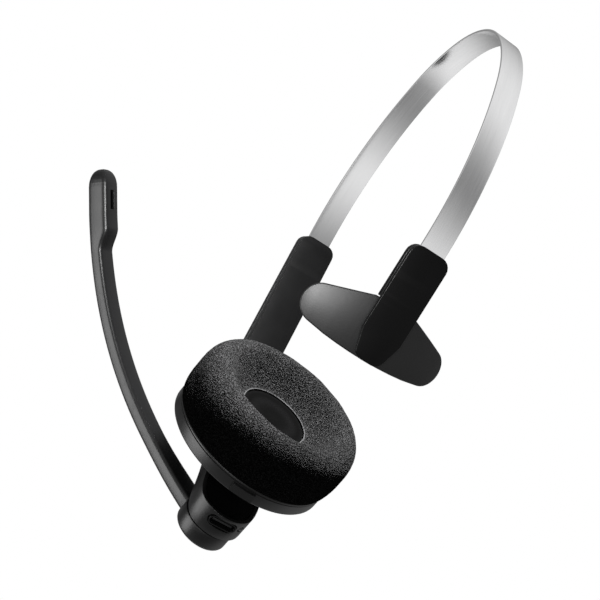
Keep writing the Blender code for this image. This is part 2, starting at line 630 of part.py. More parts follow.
def make_pod(frame, materials):
    half = ARM_WIDTH / 2
    shell = to_object("pod_shell", prism(pod_profile(0.0, 0.0), "Y", -POD_HALF - 1, POD_HALF + 1),
                      materials["black_plastic"], frame)
    keep_inside(shell, prism(pod_outline(0.0), "X", -30.0, 5.0))
    add(shell, cylinder("X", 0.0, HUB_Z, BOSS_RADIUS, BOSS_END, POD_REAR_TOP + 1.0, 40))
    add(shell, prism(lug_outline(), "Y", -half, half))
    post_top = pod_front(POD_SCREW_Z) - POD_WALL - 2 * GAP
    cavity_body = prism(pod_profile(8.0, POD_WALL), "Y", -POD_HALF, POD_HALF)
    cavity = to_object("pod_cavity_guide", cavity_body, None, frame)
    cavity.hide_render = True
    cavity.display_type = 'WIRE'
    keep_inside(cavity, prism(pod_outline(POD_WALL), "X", -30.0, 12.0))
    hollow = shell.modifiers.new("hollow", 'BOOLEAN')
    hollow.operation = 'DIFFERENCE'
    hollow.solver = 'EXACT'
    hollow.object = cavity
    for side in (-POD_SCREW_SIDE, POD_SCREW_SIDE):
        add(shell, cylinder("X", side, POD_SCREW_Z, POST_RADIUS, POD_REAR_TOP + 0.6, post_top, 16))
        cut(shell, cylinder("X", side, POD_SCREW_Z, SCREW_RADIUS + GAP, POD_REAR_TOP + 1.7, 0.0, 12))
    cut(shell, cylinder("X", 0.0, HUB_Z, BOSS_RADIUS - POD_WALL, BOSS_END + POD_WALL, POD_REAR_TOP, 32))
    cut(shell, cylinder("X", 0.0, HUB_Z, AXLE_RADIUS + GAP, BOSS_END - 1.0, POD_REAR_TOP, 24))
    barrel_room = BARREL_HALF + GAP
    cut(shell, cylinder("Y", HINGE_X, HINGE_Z, BARREL_RADIUS + 0.4, -barrel_room, barrel_room, 32))
    cut(shell, cylinder("Y", HINGE_X, HINGE_Z, PIN_RADIUS + GAP, -half - 1, half + 1, 16))
    cut(shell, port_shape(GAP, HUB_Z - POD_HALF - 2.0, HUB_Z))
    side, drop = light_place()
    cut(shell, cylinder("Z", PORT_X, side, 0.7 + GAP, drop - 3.0, drop + 4.0, 12))
    for z in BUTTON_PLACES.values():
        cut(shell, prism(button_outline(GAP, z), "X", POD_REAR_TOP - 2.0, POD_REAR_TOP + 3.0))

    front = [(x - GAP, z) for x, z in pod_line(pod_front)]
    face_profile = front + [(x - POD_WALL + GAP, z) for x, z in reversed(front)]
    face_body = prism(face_profile, "Y", -POD_HALF, POD_HALF)
    face = to_object("pod_face", face_body, materials["black_plastic"], frame)
    keep_inside(face, prism(pod_outline(POD_WALL + GAP), "X", -30.0, 5.0))
    for side in (-POD_SCREW_SIDE, POD_SCREW_SIDE):
        cut(face, cylinder("X", side, POD_SCREW_Z, SCREW_RADIUS + GAP, -12.0, 0.0, 12))


def make_pod_screws(frame, materials):
    """Screws from inside the cup, through its back and the pod's face, into the pod's posts."""
    head_low = POD_FRONT_TOP + GAP + COVER_WALL + GAP
    tip = POD_REAR_TOP + 2.0
    profile = [(head_low + 0.9, 0.0), (head_low + 0.9, SCREW_HEAD), (head_low, SCREW_HEAD),
               (head_low, SCREW_RADIUS), (tip, SCREW_RADIUS), (tip, 0.0)]
    for name, side in (("pod_screw_front", -POD_SCREW_SIDE), ("pod_screw_rear", POD_SCREW_SIDE)):
        to_object(name, turned(profile, 16), materials["steel"], frame, (0.0, side, POD_SCREW_Z))


def make_inside(frame, materials):
    cell_low, cell_high = POD_REAR_TOP + 2.2, POD_FRONT_TOP - POD_WALL - 0.9
    battery = prism(rounded_box(16.0, 18.0, 1.5, 0.0, 12.2), "X", cell_low, cell_high)
    to_object("battery", battery, materials["cell_wrap"], frame)
    board_high = PORT_X - PORT_HEIGHT / 2 - GAP
    board = cylinder("X", 0.0, HUB_Z, BOARD_RADIUS, board_high - 0.6, board_high, 28)
    to_object("circuit_board", board, materials["board_green"], frame)
    low = HUB_Z - POD_HALF + 0.5
    sleeve = to_object("port_shell", port_shape(0.0, low, low + PORT_DEPTH), materials["steel"], frame)
    cut(sleeve, port_shape(-PORT_WALL, low - 1.0, low + PORT_DEPTH - 0.5))
    tongue = box(PORT_X - 0.35, PORT_X + 0.35, -3.3, 3.3, low + 0.8, low + PORT_DEPTH - 0.5 - GAP)
    to_object("port_tongue", tongue, materials["black_plastic"], frame)
    side, drop = light_place()
    to_object("status_light", cylinder("Z", PORT_X, side, 0.7, drop + 0.1, drop + 2.6, 12),
              materials["light_clear"], frame)


def make_fold_pin(frame, materials):
    half = ARM_WIDTH / 2
    to_object("fold_pin", cylinder("Y", HINGE_X, HINGE_Z, PIN_RADIUS, -half + 0.3, half - 0.3, 16),
              materials["steel"], frame)
    low = BARREL_HALF - WASHER_THICKNESS
    washer_body = cylinder("Y", HINGE_X, HINGE_Z, BARREL_RADIUS - 0.6, low, BARREL_HALF, 24)
    washer = to_object("fold_washer", washer_body, materials["steel"], frame)
    cut(washer, cylinder("Y", HINGE_X, HINGE_Z, PIN_RADIUS + GAP, low - 1, BARREL_HALF + 1, 16))


def make_axle(frame, materials):
    """Axle of the boom: a flange inside the boss, a shank, and a flange outside the boom's hub."""
    inside = BOSS_END + POD_WALL + GAP
    web = hub_outer() + RECESS_DEPTH
    profile = [(inside + 0.6, 0.0), (inside + 0.6, AXLE_RADIUS + 1.4), (inside, AXLE_RADIUS + 1.4),
               (inside, AXLE_RADIUS), (web - GAP, AXLE_RADIUS), (web - GAP, RECESS_RADIUS - 2 * GAP),
               (web - GAP - 0.6, RECESS_RADIUS - 2 * GAP), (web - GAP - 0.6, 0.0)]
    to_object("hub_axle", turned(profile, 28), materials["steel"], frame, (0.0, 0.0, HUB_Z))


def hub_inner():
    return BOSS_END - GAP


def hub_outer():
    return hub_inner() - HUB_LENGTH


def hub_middle():
    return (hub_inner() + hub_outer()) / 2


def make_buttons(frame, materials):
    for name, z in BUTTON_PLACES.items():
        low, high = POD_REAR_TOP - BUTTON_PROUD, POD_REAR_TOP + 1.4
        body = prism(button_outline(0.0, 0.0), "X", low - POD_REAR_TOP, high - POD_REAR_TOP)
        to_object(name, body, materials["soft_rubber"], frame, (POD_REAR_TOP, 0.0, z))
    foot = hub_outer() + RECESS_DEPTH - GAP - 0.6 - 0.6
    top, radius = -CALL_BUTTON_HEIGHT, CALL_BUTTON_RADIUS - GAP
    profile = [(0.0, 0.0), (0.0, radius), (top + 0.4, radius), (top, radius - 0.6), (top, 0.0)]
    to_object("call_button", turned(profile, 28), materials["soft_rubber"], frame, (foot, 0.0, HUB_Z))


# ---- boom ----------------------------------------------------------------------------------

def boom_rise(reach):
    return BOOM_RISE * (reach / BOOM_REACH) ** BOOM_CURVE


def boom_section(reach):
    """Width and thickness of the boom at a reach from its axis, and how far it is set to the inside."""
    root = smoothstep((34.0 - reach) / 26.0)
    head = smoothstep((reach - (BOOM_REACH - HEAD_LENGTH - 3.0)) / 6.0)
    width = ARM_SECTION_WIDTH + (ROOT_WIDTH - ARM_SECTION_WIDTH) * root
    width += (HEAD_WIDTH - ARM_SECTION_WIDTH) * head
    thick = ARM_SECTION_THICKNESS + (ROOT_THICKNESS - ARM_SECTION_THICKNESS) * root
    swell = (HEAD_THICKNESS - ARM_SECTION_THICKNESS) * head
    return width, thick + swell, swell / 2


def boom_sweep(reach_low, reach_high, steps, round_end=0.0, inset=0.0):
    """Sweep a round-cornered section along the boom's curve. X is the cup's axis, Z the reach."""
    bm = bmesh.new()
    rings = []
    straight = reach_high - round_end - reach_low
    reaches = [reach_low + straight * step / steps for step in range(steps + 1)]
    scales = [1.0] * len(reaches)
    if round_end:
        for step in range(1, 5):
            angle = math.radians(84 * step / 4)
            reaches.append(reach_high - round_end + round_end * math.sin(angle))
            scales.append(math.cos(angle))
    for reach, scale in zip(reaches, scales):
        width, thick, shift = boom_section(reach)
        width, thick = (width - 2 * inset) * scale, (thick - 2 * inset) * scale
        slope = math.atan2(boom_rise(reach + 0.1) - boom_rise(reach - 0.1), 0.2)
        corner = BOOM_ROUNDNESS * min(width, thick)
        ring = []
        for u, v in rounded_box(width, thick, corner, 0.0, shift, 2):
            place = (boom_rise(reach) + v * math.cos(slope), u, reach - v * math.sin(slope))
            ring.append(bm.verts.new(place))
        rings.append(ring)
    bm.faces.new(rings[0])
    bm.faces.new(rings[-1][::-1])
    for first, second in zip(rings, rings[1:]):
        for i in range(len(first)):
            j = (i + 1) % len(first)
            bm.faces.new((first[i], first[j], second[j], second[i]))
    bmesh.ops.recalc_face_normals(bm, faces=bm.faces)
    return bm


def make_boom(frame, materials):
    low, high = hub_outer() - hub_middle(), hub_inner() - hub_middle()
    floor = low + RECESS_DEPTH
    profile = [(high, AXLE_RADIUS + GAP), (high, HUB_RADIUS - 0.3), (high - 0.3, HUB_RADIUS),
               (low + 1.2, HUB_RADIUS), (low + 0.4, HUB_RADIUS - 0.4), (low, HUB_RADIUS - 1.2),
               (low, RECESS_RADIUS), (floor, RECESS_RADIUS), (floor, AXLE_RADIUS + GAP)]
    seam = BOOM_REACH - HEAD_LENGTH
    arm = to_object("boom_arm", turned(profile, 40), materials["black_plastic"], frame)
    add(arm, boom_sweep((RECESS_RADIUS + HUB_RADIUS) / 2 - 0.2, seam - GAP / 2, 26))

    head_body = boom_sweep(seam + GAP / 2, BOOM_REACH, 8, 4.0)
    head = to_object("mic_housing", head_body, materials["black_plastic"], frame)
    cut(head, boom_sweep(BOOM_REACH - 12.0, BOOM_REACH - 3.6, 3, 0.0, 1.1))
    slope = math.atan2(boom_rise(MIC_REACH + 0.1) - boom_rise(MIC_REACH - 0.1), 0.2)
    shift = boom_section(MIC_REACH)[2]
    rise = boom_rise(MIC_REACH) + shift * math.cos(slope)
    middle = MIC_REACH - shift * math.sin(slope)
    slot = box(0.0, 12.0, -0.6, 0.6, -2.3, 2.3)
    capsule = cylinder("X", 0.0, 0.0, 1.9, -1.4, 0.2, 20)
    for piece in (slot, capsule):
        bmesh.ops.transform(piece, matrix=Matrix.Rotation(slope, 4, 'Y'), verts=piece.verts)
        bmesh.ops.translate(piece, vec=(rise, 0.0, middle), verts=piece.verts)
    cut(head, slot)
    to_object("mic_capsule", capsule, materials["steel"], frame)


# ---- assembly ------------------------------------------------------------------------------

def make_headset():
    clear_scene()
    materials = make_materials()
    make_strip(materials["brushed_steel"])
    temple = axis_empty("temple_leg_axis", leg_matrix(1))
    make_temple(temple, materials)
    ear_leg = axis_empty("size_slide_axis", leg_matrix(-1))
    make_end_stop(ear_leg, materials)
    make_ear_arm(ear_leg, materials)
    hinge = Vector((HINGE_INSET, 0.0, -HINGE_DROP)) * MM
    facing = Matrix.Rotation(math.radians(EAR_LEAN_DEG - CUP_FACING_DEG), 4, 'Y')
    fold = axis_empty("cup_fold_axis", Matrix.Translation(hinge) @ facing, ear_leg)
    cup_offset = Vector((-HINGE_X, 0.0, -HINGE_Z)) * MM
    cup = axis_empty("cup_middle", Matrix.Translation(cup_offset), fold)
    make_plate(cup, materials)
    make_back_cover(cup, materials)
    make_speaker(cup, materials)
    make_foam(cup, materials)
    make_pod(cup, materials)
    make_inside(cup, materials)
    make_pod_screws(cup, materials)
    make_fold_pin(cup, materials)
    make_axle(cup, materials)
    make_buttons(cup, materials)
    hub = Vector((hub_middle(), 0.0, HUB_Z)) * MM
    turn = Matrix.Rotation(math.radians(90.0 - BOOM_REST_DEG), 4, 'X')
    boom = axis_empty("boom_turn_axis", Matrix.Translation(hub) @ turn, cup)
    make_boom(boom, materials)


make_headset()
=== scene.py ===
import json
import math

import bmesh
import bpy
from mathutils import Matrix, Vector, noise

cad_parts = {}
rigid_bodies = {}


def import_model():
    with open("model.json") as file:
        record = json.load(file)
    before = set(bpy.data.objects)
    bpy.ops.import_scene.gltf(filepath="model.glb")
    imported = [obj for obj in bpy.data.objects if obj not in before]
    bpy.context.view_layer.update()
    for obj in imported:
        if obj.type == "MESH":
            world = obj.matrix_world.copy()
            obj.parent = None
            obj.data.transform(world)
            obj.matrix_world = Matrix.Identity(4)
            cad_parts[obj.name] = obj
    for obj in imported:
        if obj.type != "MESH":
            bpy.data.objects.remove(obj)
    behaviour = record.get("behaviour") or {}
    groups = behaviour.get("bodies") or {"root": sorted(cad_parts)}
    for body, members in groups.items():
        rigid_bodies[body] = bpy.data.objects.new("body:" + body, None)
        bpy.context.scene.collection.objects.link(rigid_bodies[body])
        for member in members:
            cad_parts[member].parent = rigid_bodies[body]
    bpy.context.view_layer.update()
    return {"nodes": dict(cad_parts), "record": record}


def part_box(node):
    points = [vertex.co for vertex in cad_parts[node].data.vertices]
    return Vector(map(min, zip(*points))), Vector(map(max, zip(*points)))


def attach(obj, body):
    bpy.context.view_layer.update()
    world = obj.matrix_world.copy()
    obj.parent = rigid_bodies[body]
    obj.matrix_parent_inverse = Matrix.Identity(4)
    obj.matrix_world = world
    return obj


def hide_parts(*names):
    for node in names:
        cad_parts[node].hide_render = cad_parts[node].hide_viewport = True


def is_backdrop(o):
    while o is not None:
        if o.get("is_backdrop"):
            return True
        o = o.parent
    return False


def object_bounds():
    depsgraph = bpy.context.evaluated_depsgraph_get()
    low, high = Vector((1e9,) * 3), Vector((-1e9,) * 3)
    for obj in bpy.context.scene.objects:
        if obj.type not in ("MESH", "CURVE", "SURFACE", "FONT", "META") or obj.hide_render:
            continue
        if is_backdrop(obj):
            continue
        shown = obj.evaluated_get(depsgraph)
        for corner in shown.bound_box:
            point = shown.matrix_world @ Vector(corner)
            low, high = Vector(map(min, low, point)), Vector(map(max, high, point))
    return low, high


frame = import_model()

# The headset's finished looks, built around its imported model. Metres, +Z up, the boom points to -Y.

record = frame["record"]
joints = {joint["name"]: joint for joint in record["behaviour"]["joints"]}
mounts = {mount["name"]: mount for mount in record["mounts"]}


# Frames that the pieces are built in

def makeFrame(origin, outward, up):
    side = up.cross(outward)
    columns = Matrix((outward, side, up)).transposed().to_4x4()
    return Matrix.Translation(origin) @ columns


def boxMiddle(node):
    low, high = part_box(node)
    return (low + high) / 2


def cupPlace():
    toEar = Vector(joints["boom_turn"]["axis"]).normalized()
    towardHinge = toEar.cross(Vector((0, 1, 0)))
    middle = boxMiddle("ear_plate") - toEar * (cupSizes["plateDepth"] / 2)
    return makeFrame(middle, toEar, towardHinge)


def templePlace():
    outward = Vector(mounts["temple_face"]["axis"]).normalized()
    up = outward.cross(Vector((0, 1, 0)))
    onFace = Vector(mounts["temple_face"]["pos_m"])
    return makeFrame(onFace - outward * templeSizes["faceOut"] + up * templeSizes["faceDrop"], outward, up)


def boomPlace():
    toEar = Vector(joints["boom_turn"]["axis"]).normalized()
    towardHinge = toEar.cross(Vector((0, 1, 0)))
    rest = math.radians(boomSizes["restAngle"])
    along = Vector((0, -1, 0)) * math.cos(rest) + towardHinge * math.sin(rest)
    return makeFrame(Vector(joints["boom_turn"]["pos_m"]), toEar, along)


cupSizes = {"plateDepth": 0.0046, "plateRadius": 0.0264}
templeSizes = {"faceOut": 0.0015, "faceDrop": 0.011}
boomSizes = {"restAngle": 50.0, "reach": 0.1116, "rise": 0.0429, "curve": 2.6, "headLength": 0.0177,
             "hubRadius": 0.0086, "hubLength": 0.0058, "recessRadius": 0.0058, "recessDepth": 0.0014,
             "rootWidth": 0.0076, "rootThick": 0.0052, "armWidth": 0.0062, "armThick": 0.0049,
             "headWidth": 0.0066, "headThick": 0.0082, "cornerShare": 0.26,
             "rootEnd": 0.034, "rootFade": 0.026, "headLead": 0.003, "headFade": 0.006, "headTail": 0.004}
hubLook = {"bore": 0.0033, "rim": 0.0004, "round": 0.0012, "roundSteps": 6, "edge": 0.0002, "turns": 96}

inCup = cupPlace()
inTemple = templePlace()
inBoom = boomPlace()


# Shader groups that several finishes share

def newGroup(name, inputs, outputs):
    group = bpy.data.node_groups.new(name, "ShaderNodeTree")
    for label, kind, value in inputs:
        socket = group.interface.new_socket(name=label, in_out="INPUT", socket_type=kind)
        if value is not None:
            socket.default_value = value
    for label, kind in outputs:
        group.interface.new_socket(name=label, in_out="OUTPUT", socket_type=kind)
    start = group.nodes.new("NodeGroupInput")
    end = group.nodes.new("NodeGroupOutput")
    return group, start, end


def addNode(tree, kind, settings=None, values=None):
    node = tree.nodes.new(kind)
    for key, value in (settings or {}).items():
        setattr(node, key, value)
    for key, value in (values or {}).items():
        node.inputs[key].default_value = value
    return node


def addMath(tree, operation, first, second, clamp=False):
    node = addNode(tree, "ShaderNodeMath", {"operation": operation, "use_clamp": clamp})
    for index, value in enumerate((first, second)):
        if isinstance(value, (int, float)):
            node.inputs[index].default_value = value
        else:
            tree.links.new(value, node.inputs[index])
    return node.outputs[0]


def addRange(tree, value, low, high, newLow, newHigh):
    node = addNode(tree, "ShaderNodeMapRange")
    tree.links.new(value, node.inputs["Value"])
    for label, setting in (("From Min", low), ("From Max", high), ("To Min", newLow), ("To Max", newHigh)):
        if isinstance(setting, (int, float)):
            node.inputs[label].default_value = setting
        else:
            tree.links.new(setting, node.inputs[label])
    return node.outputs["Result"]


def addMix(tree, factor, first, second):
    node = addNode(tree, "ShaderNodeMix", {"data_type": "RGBA", "clamp_factor": True})
    sockets = ((node.inputs[0], factor), (node.inputs[6], first), (node.inputs[7], second))
    for socket, value in sockets:
        if isinstance(value, bpy.types.NodeSocket):
            tree.links.new(value, socket)
        else:
            socket.default_value = value
    return node.outputs[2]


grainLook = {"slowScale": 140.0, "pitScale": 2600.0, "pitShare": 0.6}
scratchLook = {"turns": ((0.3, 0.9, 0.2), (1.4, 0.2, 1.1)), "stretch": (1.0, 0.04, 1.0),
               "edges": (0.64, 0.72)}
dustLook = {"scale": 900.0, "edges": (0.05, 0.11), "patchScale": 90.0, "patchEdges": (0.5, 0.7)}


def makeMouldGrain():
    # Fine spark-eroded grain of a moulded plastic, with slow changes of gloss
    group, start, end = newGroup(
        "mouldGrain",
        [("Place", "NodeSocketVector", None), ("Grain Size", "NodeSocketFloat", 4500.0),
         ("Roughness", "NodeSocketFloat", 0.4), ("Spread", "NodeSocketFloat", 0.06)],
        [("Height", "NodeSocketFloat"), ("Roughness", "NodeSocketFloat"), ("Tone", "NodeSocketFloat")])
    fine = addNode(group, "ShaderNodeTexNoise", None, {"Detail": 3.0, "Roughness": 0.6})
    group.links.new(start.outputs["Place"], fine.inputs["Vector"])
    group.links.new(start.outputs["Grain Size"], fine.inputs["Scale"])
    slow = addNode(group, "ShaderNodeTexNoise", None, {"Scale": grainLook["slowScale"], "Detail": 4.0})
    group.links.new(start.outputs["Place"], slow.inputs["Vector"])
    pits = addNode(group, "ShaderNodeTexVoronoi", None, {"Scale": grainLook["pitScale"]})
    group.links.new(start.outputs["Place"], pits.inputs["Vector"])
    pitted = addMath(group, "MULTIPLY", pits.outputs["Distance"], grainLook["pitShare"])
    height = addMath(group, "ADD", fine.outputs["Fac"], pitted)
    group.links.new(height, end.inputs["Height"])
    change = addMath(group, "MULTIPLY", addMath(group, "SUBTRACT", slow.outputs["Fac"], 0.5),
                     start.outputs["Spread"])
    change = addMath(group, "MULTIPLY", change, 2.0)
    group.links.new(addMath(group, "ADD", start.outputs["Roughness"], change), end.inputs["Roughness"])
    group.links.new(slow.outputs["Fac"], end.inputs["Tone"])
    return group


def makeFineScratches():
    # Hairline handling marks, each turned its own way
    group, start, end = newGroup(
        "fineScratches",
        [("Place", "NodeSocketVector", None), ("Scale", "NodeSocketFloat", 260.0),
         ("Amount", "NodeSocketFloat", 0.4)],
        [("Mask", "NodeSocketFloat")])
    total = None
    for turn in scratchLook["turns"]:
        mapping = addNode(group, "ShaderNodeMapping", None,
                          {"Rotation": turn, "Scale": scratchLook["stretch"]})
        group.links.new(start.outputs["Place"], mapping.inputs["Vector"])
        lines = addNode(group, "ShaderNodeTexNoise", None, {"Detail": 2.0})
        group.links.new(mapping.outputs["Vector"], lines.inputs["Vector"])
        group.links.new(start.outputs["Scale"], lines.inputs["Scale"])
        thin = addRange(group, lines.outputs["Fac"], *scratchLook["edges"], 0.0, 1.0)
        total = thin if total is None else addMath(group, "MAXIMUM", total, thin)
    group.links.new(addMath(group, "MULTIPLY", total, start.outputs["Amount"]), end.inputs["Mask"])
    return group


def makeDust():
    # Specks of dust and lint
    group, start, end = newGroup(
        "dustSpecks",
        [("Place", "NodeSocketVector", None), ("Amount", "NodeSocketFloat", 0.5)],
        [("Mask", "NodeSocketFloat")])
    cells = addNode(group, "ShaderNodeTexVoronoi", None, {"Scale": dustLook["scale"], "Randomness": 1.0})
    group.links.new(start.outputs["Place"], cells.inputs["Vector"])
    speck = addRange(group, cells.outputs["Distance"], *dustLook["edges"], 1.0, 0.0)
    patch = addNode(group, "ShaderNodeTexNoise", None, {"Scale": dustLook["patchScale"]})
    group.links.new(start.outputs["Place"], patch.inputs["Vector"])
    where = addRange(group, patch.outputs["Fac"], *dustLook["patchEdges"], 0.0, 1.0)
    mask = addMath(group, "MULTIPLY", speck, where, True)
    group.links.new(addMath(group, "MULTIPLY", mask, start.outputs["Amount"]), end.inputs["Mask"])
    return group


mouldGrain = makeMouldGrain()
fineScratches = makeFineScratches()
dustSpecks = makeDust()


# Finishes

def newFinish(name):
    material = bpy.data.materials.new(name)
    material.use_nodes = True
    tree = material.node_tree
    shader = tree.nodes["Principled BSDF"]
    place = addNode(tree, "ShaderNodeTexCoord").outputs["Object"]
    return material, tree, shader, place


def addGroup(tree, group, place, values=None):
    node = addNode(tree, "ShaderNodeGroup", {"node_tree": group}, values)
    tree.links.new(place, node.inputs["Place"])
    return node


def addBump(tree, shader, height, distance, strength=1.0):
    bump = addNode(tree, "ShaderNodeBump", None, {"Distance": distance, "Strength": strength})
    tree.links.new(height, bump.inputs["Height"])
    tree.links.new(bump.outputs["Normal"], shader.inputs["Normal"])


plasticTone = {"darkest": 0.8, "lightest": 1.25, "dust": (0.11, 0.11, 0.115, 1.0), "scratched": 0.15,
               "grainStrength": 0.6}


def makePlastic(name, look):
    material, tree, shader, place = newFinish(name)
    grain = addGroup(tree, mouldGrain, place,
                     {"Grain Size": look["grainSize"], "Roughness": look["roughness"],
                      "Spread": look["glossSpread"]})
    scratches = addGroup(tree, fineScratches, place,
                         {"Scale": look["scratchScale"], "Amount": look["scratches"]})
    dust = addGroup(tree, dustSpecks, place, {"Amount": look["dust"]})
    dark = tuple(value * plasticTone["darkest"] for value in look["colour"]) + (1.0,)
    light = tuple(value * plasticTone["lightest"] for value in look["colour"]) + (1.0,)
    base = addMix(tree, grain.outputs["Tone"], dark, light)
    dusty = addMix(tree, dust.outputs["Mask"], base, plasticTone["dust"])
    tree.links.new(dusty, shader.inputs["Base Color"])
    shader.inputs["Specular IOR Level"].default_value = look["specular"]
    scratched = addMath(tree, "MULTIPLY", scratches.outputs["Mask"], plasticTone["scratched"])
    rough = addMath(tree, "ADD", grain.outputs["Roughness"], scratched)
    tree.links.new(rough, shader.inputs["Roughness"])
    addBump(tree, shader, grain.outputs["Height"], look["grainDepth"], plasticTone["grainStrength"])
    return material


brushTone = {"spread": (0.3, 0.7), "cloudStretch": (1.0, 5.0, 1.0), "cloudScale": 60.0, "darkest": 0.86,
             "lineShare": 0.7, "cloudShare": 0.3, "roughSpread": 0.06, "strength": 0.5}


def makeBrushedSteel(name, look):
    # Brush lines run along the strip, so they change fast across it and slowly along it
    material, tree, shader, place = newFinish(name)
    stretch = addNode(tree, "ShaderNodeMapping", None, {"Scale": look["stretch"]})
    tree.links.new(place, stretch.inputs["Vector"])
    lines = addNode(tree, "ShaderNodeTexNoise", None,
                    {"Scale": look["lineScale"], "Detail": 5.0, "Roughness": 0.7})
    tree.links.new(stretch.outputs["Vector"], lines.inputs["Vector"])
    broad = addNode(tree, "ShaderNodeMapping", None, {"Scale": brushTone["cloudStretch"]})
    tree.links.new(place, broad.inputs["Vector"])
    cloud = addNode(tree, "ShaderNodeTexNoise", None, {"Scale": brushTone["cloudScale"], "Detail": 3.0})
    tree.links.new(broad.outputs["Vector"], cloud.inputs["Vector"])
    dark = tuple(value * brushTone["darkest"] for value in look["colour"]) + (1.0,)
    light = tuple(look["colour"]) + (1.0,)
    tone = addMath(tree, "ADD", addMath(tree, "MULTIPLY", lines.outputs["Fac"], brushTone["lineShare"]),
                   addMath(tree, "MULTIPLY", cloud.outputs["Fac"], brushTone["cloudShare"]))
    share = addRange(tree, tone, *brushTone["spread"], 0.0, 1.0)
    tree.links.new(addMix(tree, share, dark, light), shader.inputs["Base Color"])
    smoothest = look["roughness"] - brushTone["roughSpread"]
    roughest = look["roughness"] + brushTone["roughSpread"]
    rough = addRange(tree, lines.outputs["Fac"], *brushTone["spread"], smoothest, roughest)
    tree.links.new(rough, shader.inputs["Roughness"])
    shader.inputs["Metallic"].default_value = 1.0
    addBump(tree, shader, lines.outputs["Fac"], look["lineDepth"], brushTone["strength"])
    return material


def makeFoamFinish(name, look):
    # Open cells: painted shade makes the hole in each cell near black, and painted light makes the fibres
    # between them grey
    material, tree, shader, place = newFinish(name)
    wobble = addNode(tree, "ShaderNodeTexNoise", None,
                     {"Scale": look["cellScale"] * look["wobbleScale"], "Detail": 2.0})
    tree.links.new(place, wobble.inputs["Vector"])
    spread = addNode(tree, "ShaderNodeVectorMath", {"operation": "SCALE"}, {"Scale": look["wobble"]})
    tree.links.new(wobble.outputs["Color"], spread.inputs["Vector"])
    moved = addNode(tree, "ShaderNodeVectorMath", {"operation": "ADD"})
    tree.links.new(place, moved.inputs[0])
    tree.links.new(spread.outputs["Vector"], moved.inputs[1])
    cells = addNode(tree, "ShaderNodeTexVoronoi", {"feature": "SMOOTH_F1"},
                    {"Scale": look["cellScale"], "Smoothness": look["smoothness"]})
    tree.links.new(moved.outputs["Vector"], cells.inputs["Vector"])
    fibres = addNode(tree, "ShaderNodeTexNoise", None,
                     {"Scale": look["cellScale"] * look["fibreScale"], "Detail": 4.0})
    tree.links.new(place, fibres.inputs["Vector"])
    frayed = addMath(tree, "MULTIPLY", fibres.outputs["Fac"], look["fibreShare"])
    height = addMath(tree, "ADD", cells.outputs["Distance"], frayed)
    # Mask of painted light on the fibres against painted shade in the cell holes
    lit = addRange(tree, height, look["shadedHoleEdge"], look["litFibreEdge"], 0.0, 1.0)
    tone = addMix(tree, lit, (*look["hole"], 1.0), (*look["litFibre"], 1.0))
    tree.links.new(tone, shader.inputs["Base Color"])
    shader.inputs["Roughness"].default_value = look["roughness"]
    shader.inputs["Specular IOR Level"].default_value = look["specular"]
    addBump(tree, shader, height, look["depth"], 1.0)
    return material


def makeWeave(name, look):
    # Fine knitted cloth over the speaker
    material, tree, shader, place = newFinish(name)
    heights = []
    for turn in (0.0, math.pi / 2):
        mapping = addNode(tree, "ShaderNodeMapping", None,
                          {"Rotation": (0.0, math.radians(look["tilt"]), turn)})
        tree.links.new(place, mapping.inputs["Vector"])
        wave = addNode(tree, "ShaderNodeTexWave", None,
                       {"Scale": look["threadScale"], "Distortion": look["unevenness"], "Detail": 2.0,
                        "Detail Scale": 3.0})
        tree.links.new(mapping.outputs["Vector"], wave.inputs["Vector"])
        heights.append(wave.outputs["Fac"])
    height = addMath(tree, "MULTIPLY", heights[0], heights[1])
    tone = addMix(tree, height, (*look["dark"], 1.0), (*look["light"], 1.0))
    tree.links.new(tone, shader.inputs["Base Color"])
    shader.inputs["Roughness"].default_value = look["roughness"]
    shader.inputs["Specular IOR Level"].default_value = look["specular"]
    addBump(tree, shader, height, look["depth"], look["strength"])
    return material


def makeBoardFinish(name, look):
    # Fine tracks under a green coat
    material, tree, shader, place = newFinish(name)
    tracks = addNode(tree, "ShaderNodeTexBrick", None,
                     {"Scale": look["trackScale"], "Mortar Size": look["trackWidth"]})
    tree.links.new(place, tracks.inputs["Vector"])
    tone = addMix(tree, tracks.outputs["Fac"], (*look["coat"], 1.0), (*look["track"], 1.0))
    tree.links.new(tone, shader.inputs["Base Color"])
    shader.inputs["Roughness"].default_value = look["roughness"]
    addBump(tree, shader, tracks.outputs["Fac"], look["depth"])
    return material


def makeLightFinish(name, look):
    material, tree, shader, place = newFinish(name)
    grain = addGroup(tree, mouldGrain, place, {"Roughness": look["roughness"]})
    tree.links.new(grain.outputs["Roughness"], shader.inputs["Roughness"])
    tone = addMix(tree, grain.outputs["Tone"], (*look["dark"], 1.0), (*look["light"], 1.0))
    tree.links.new(tone, shader.inputs["Base Color"])
    shader.inputs["Coat Weight"].default_value = look["coat"]
    return material


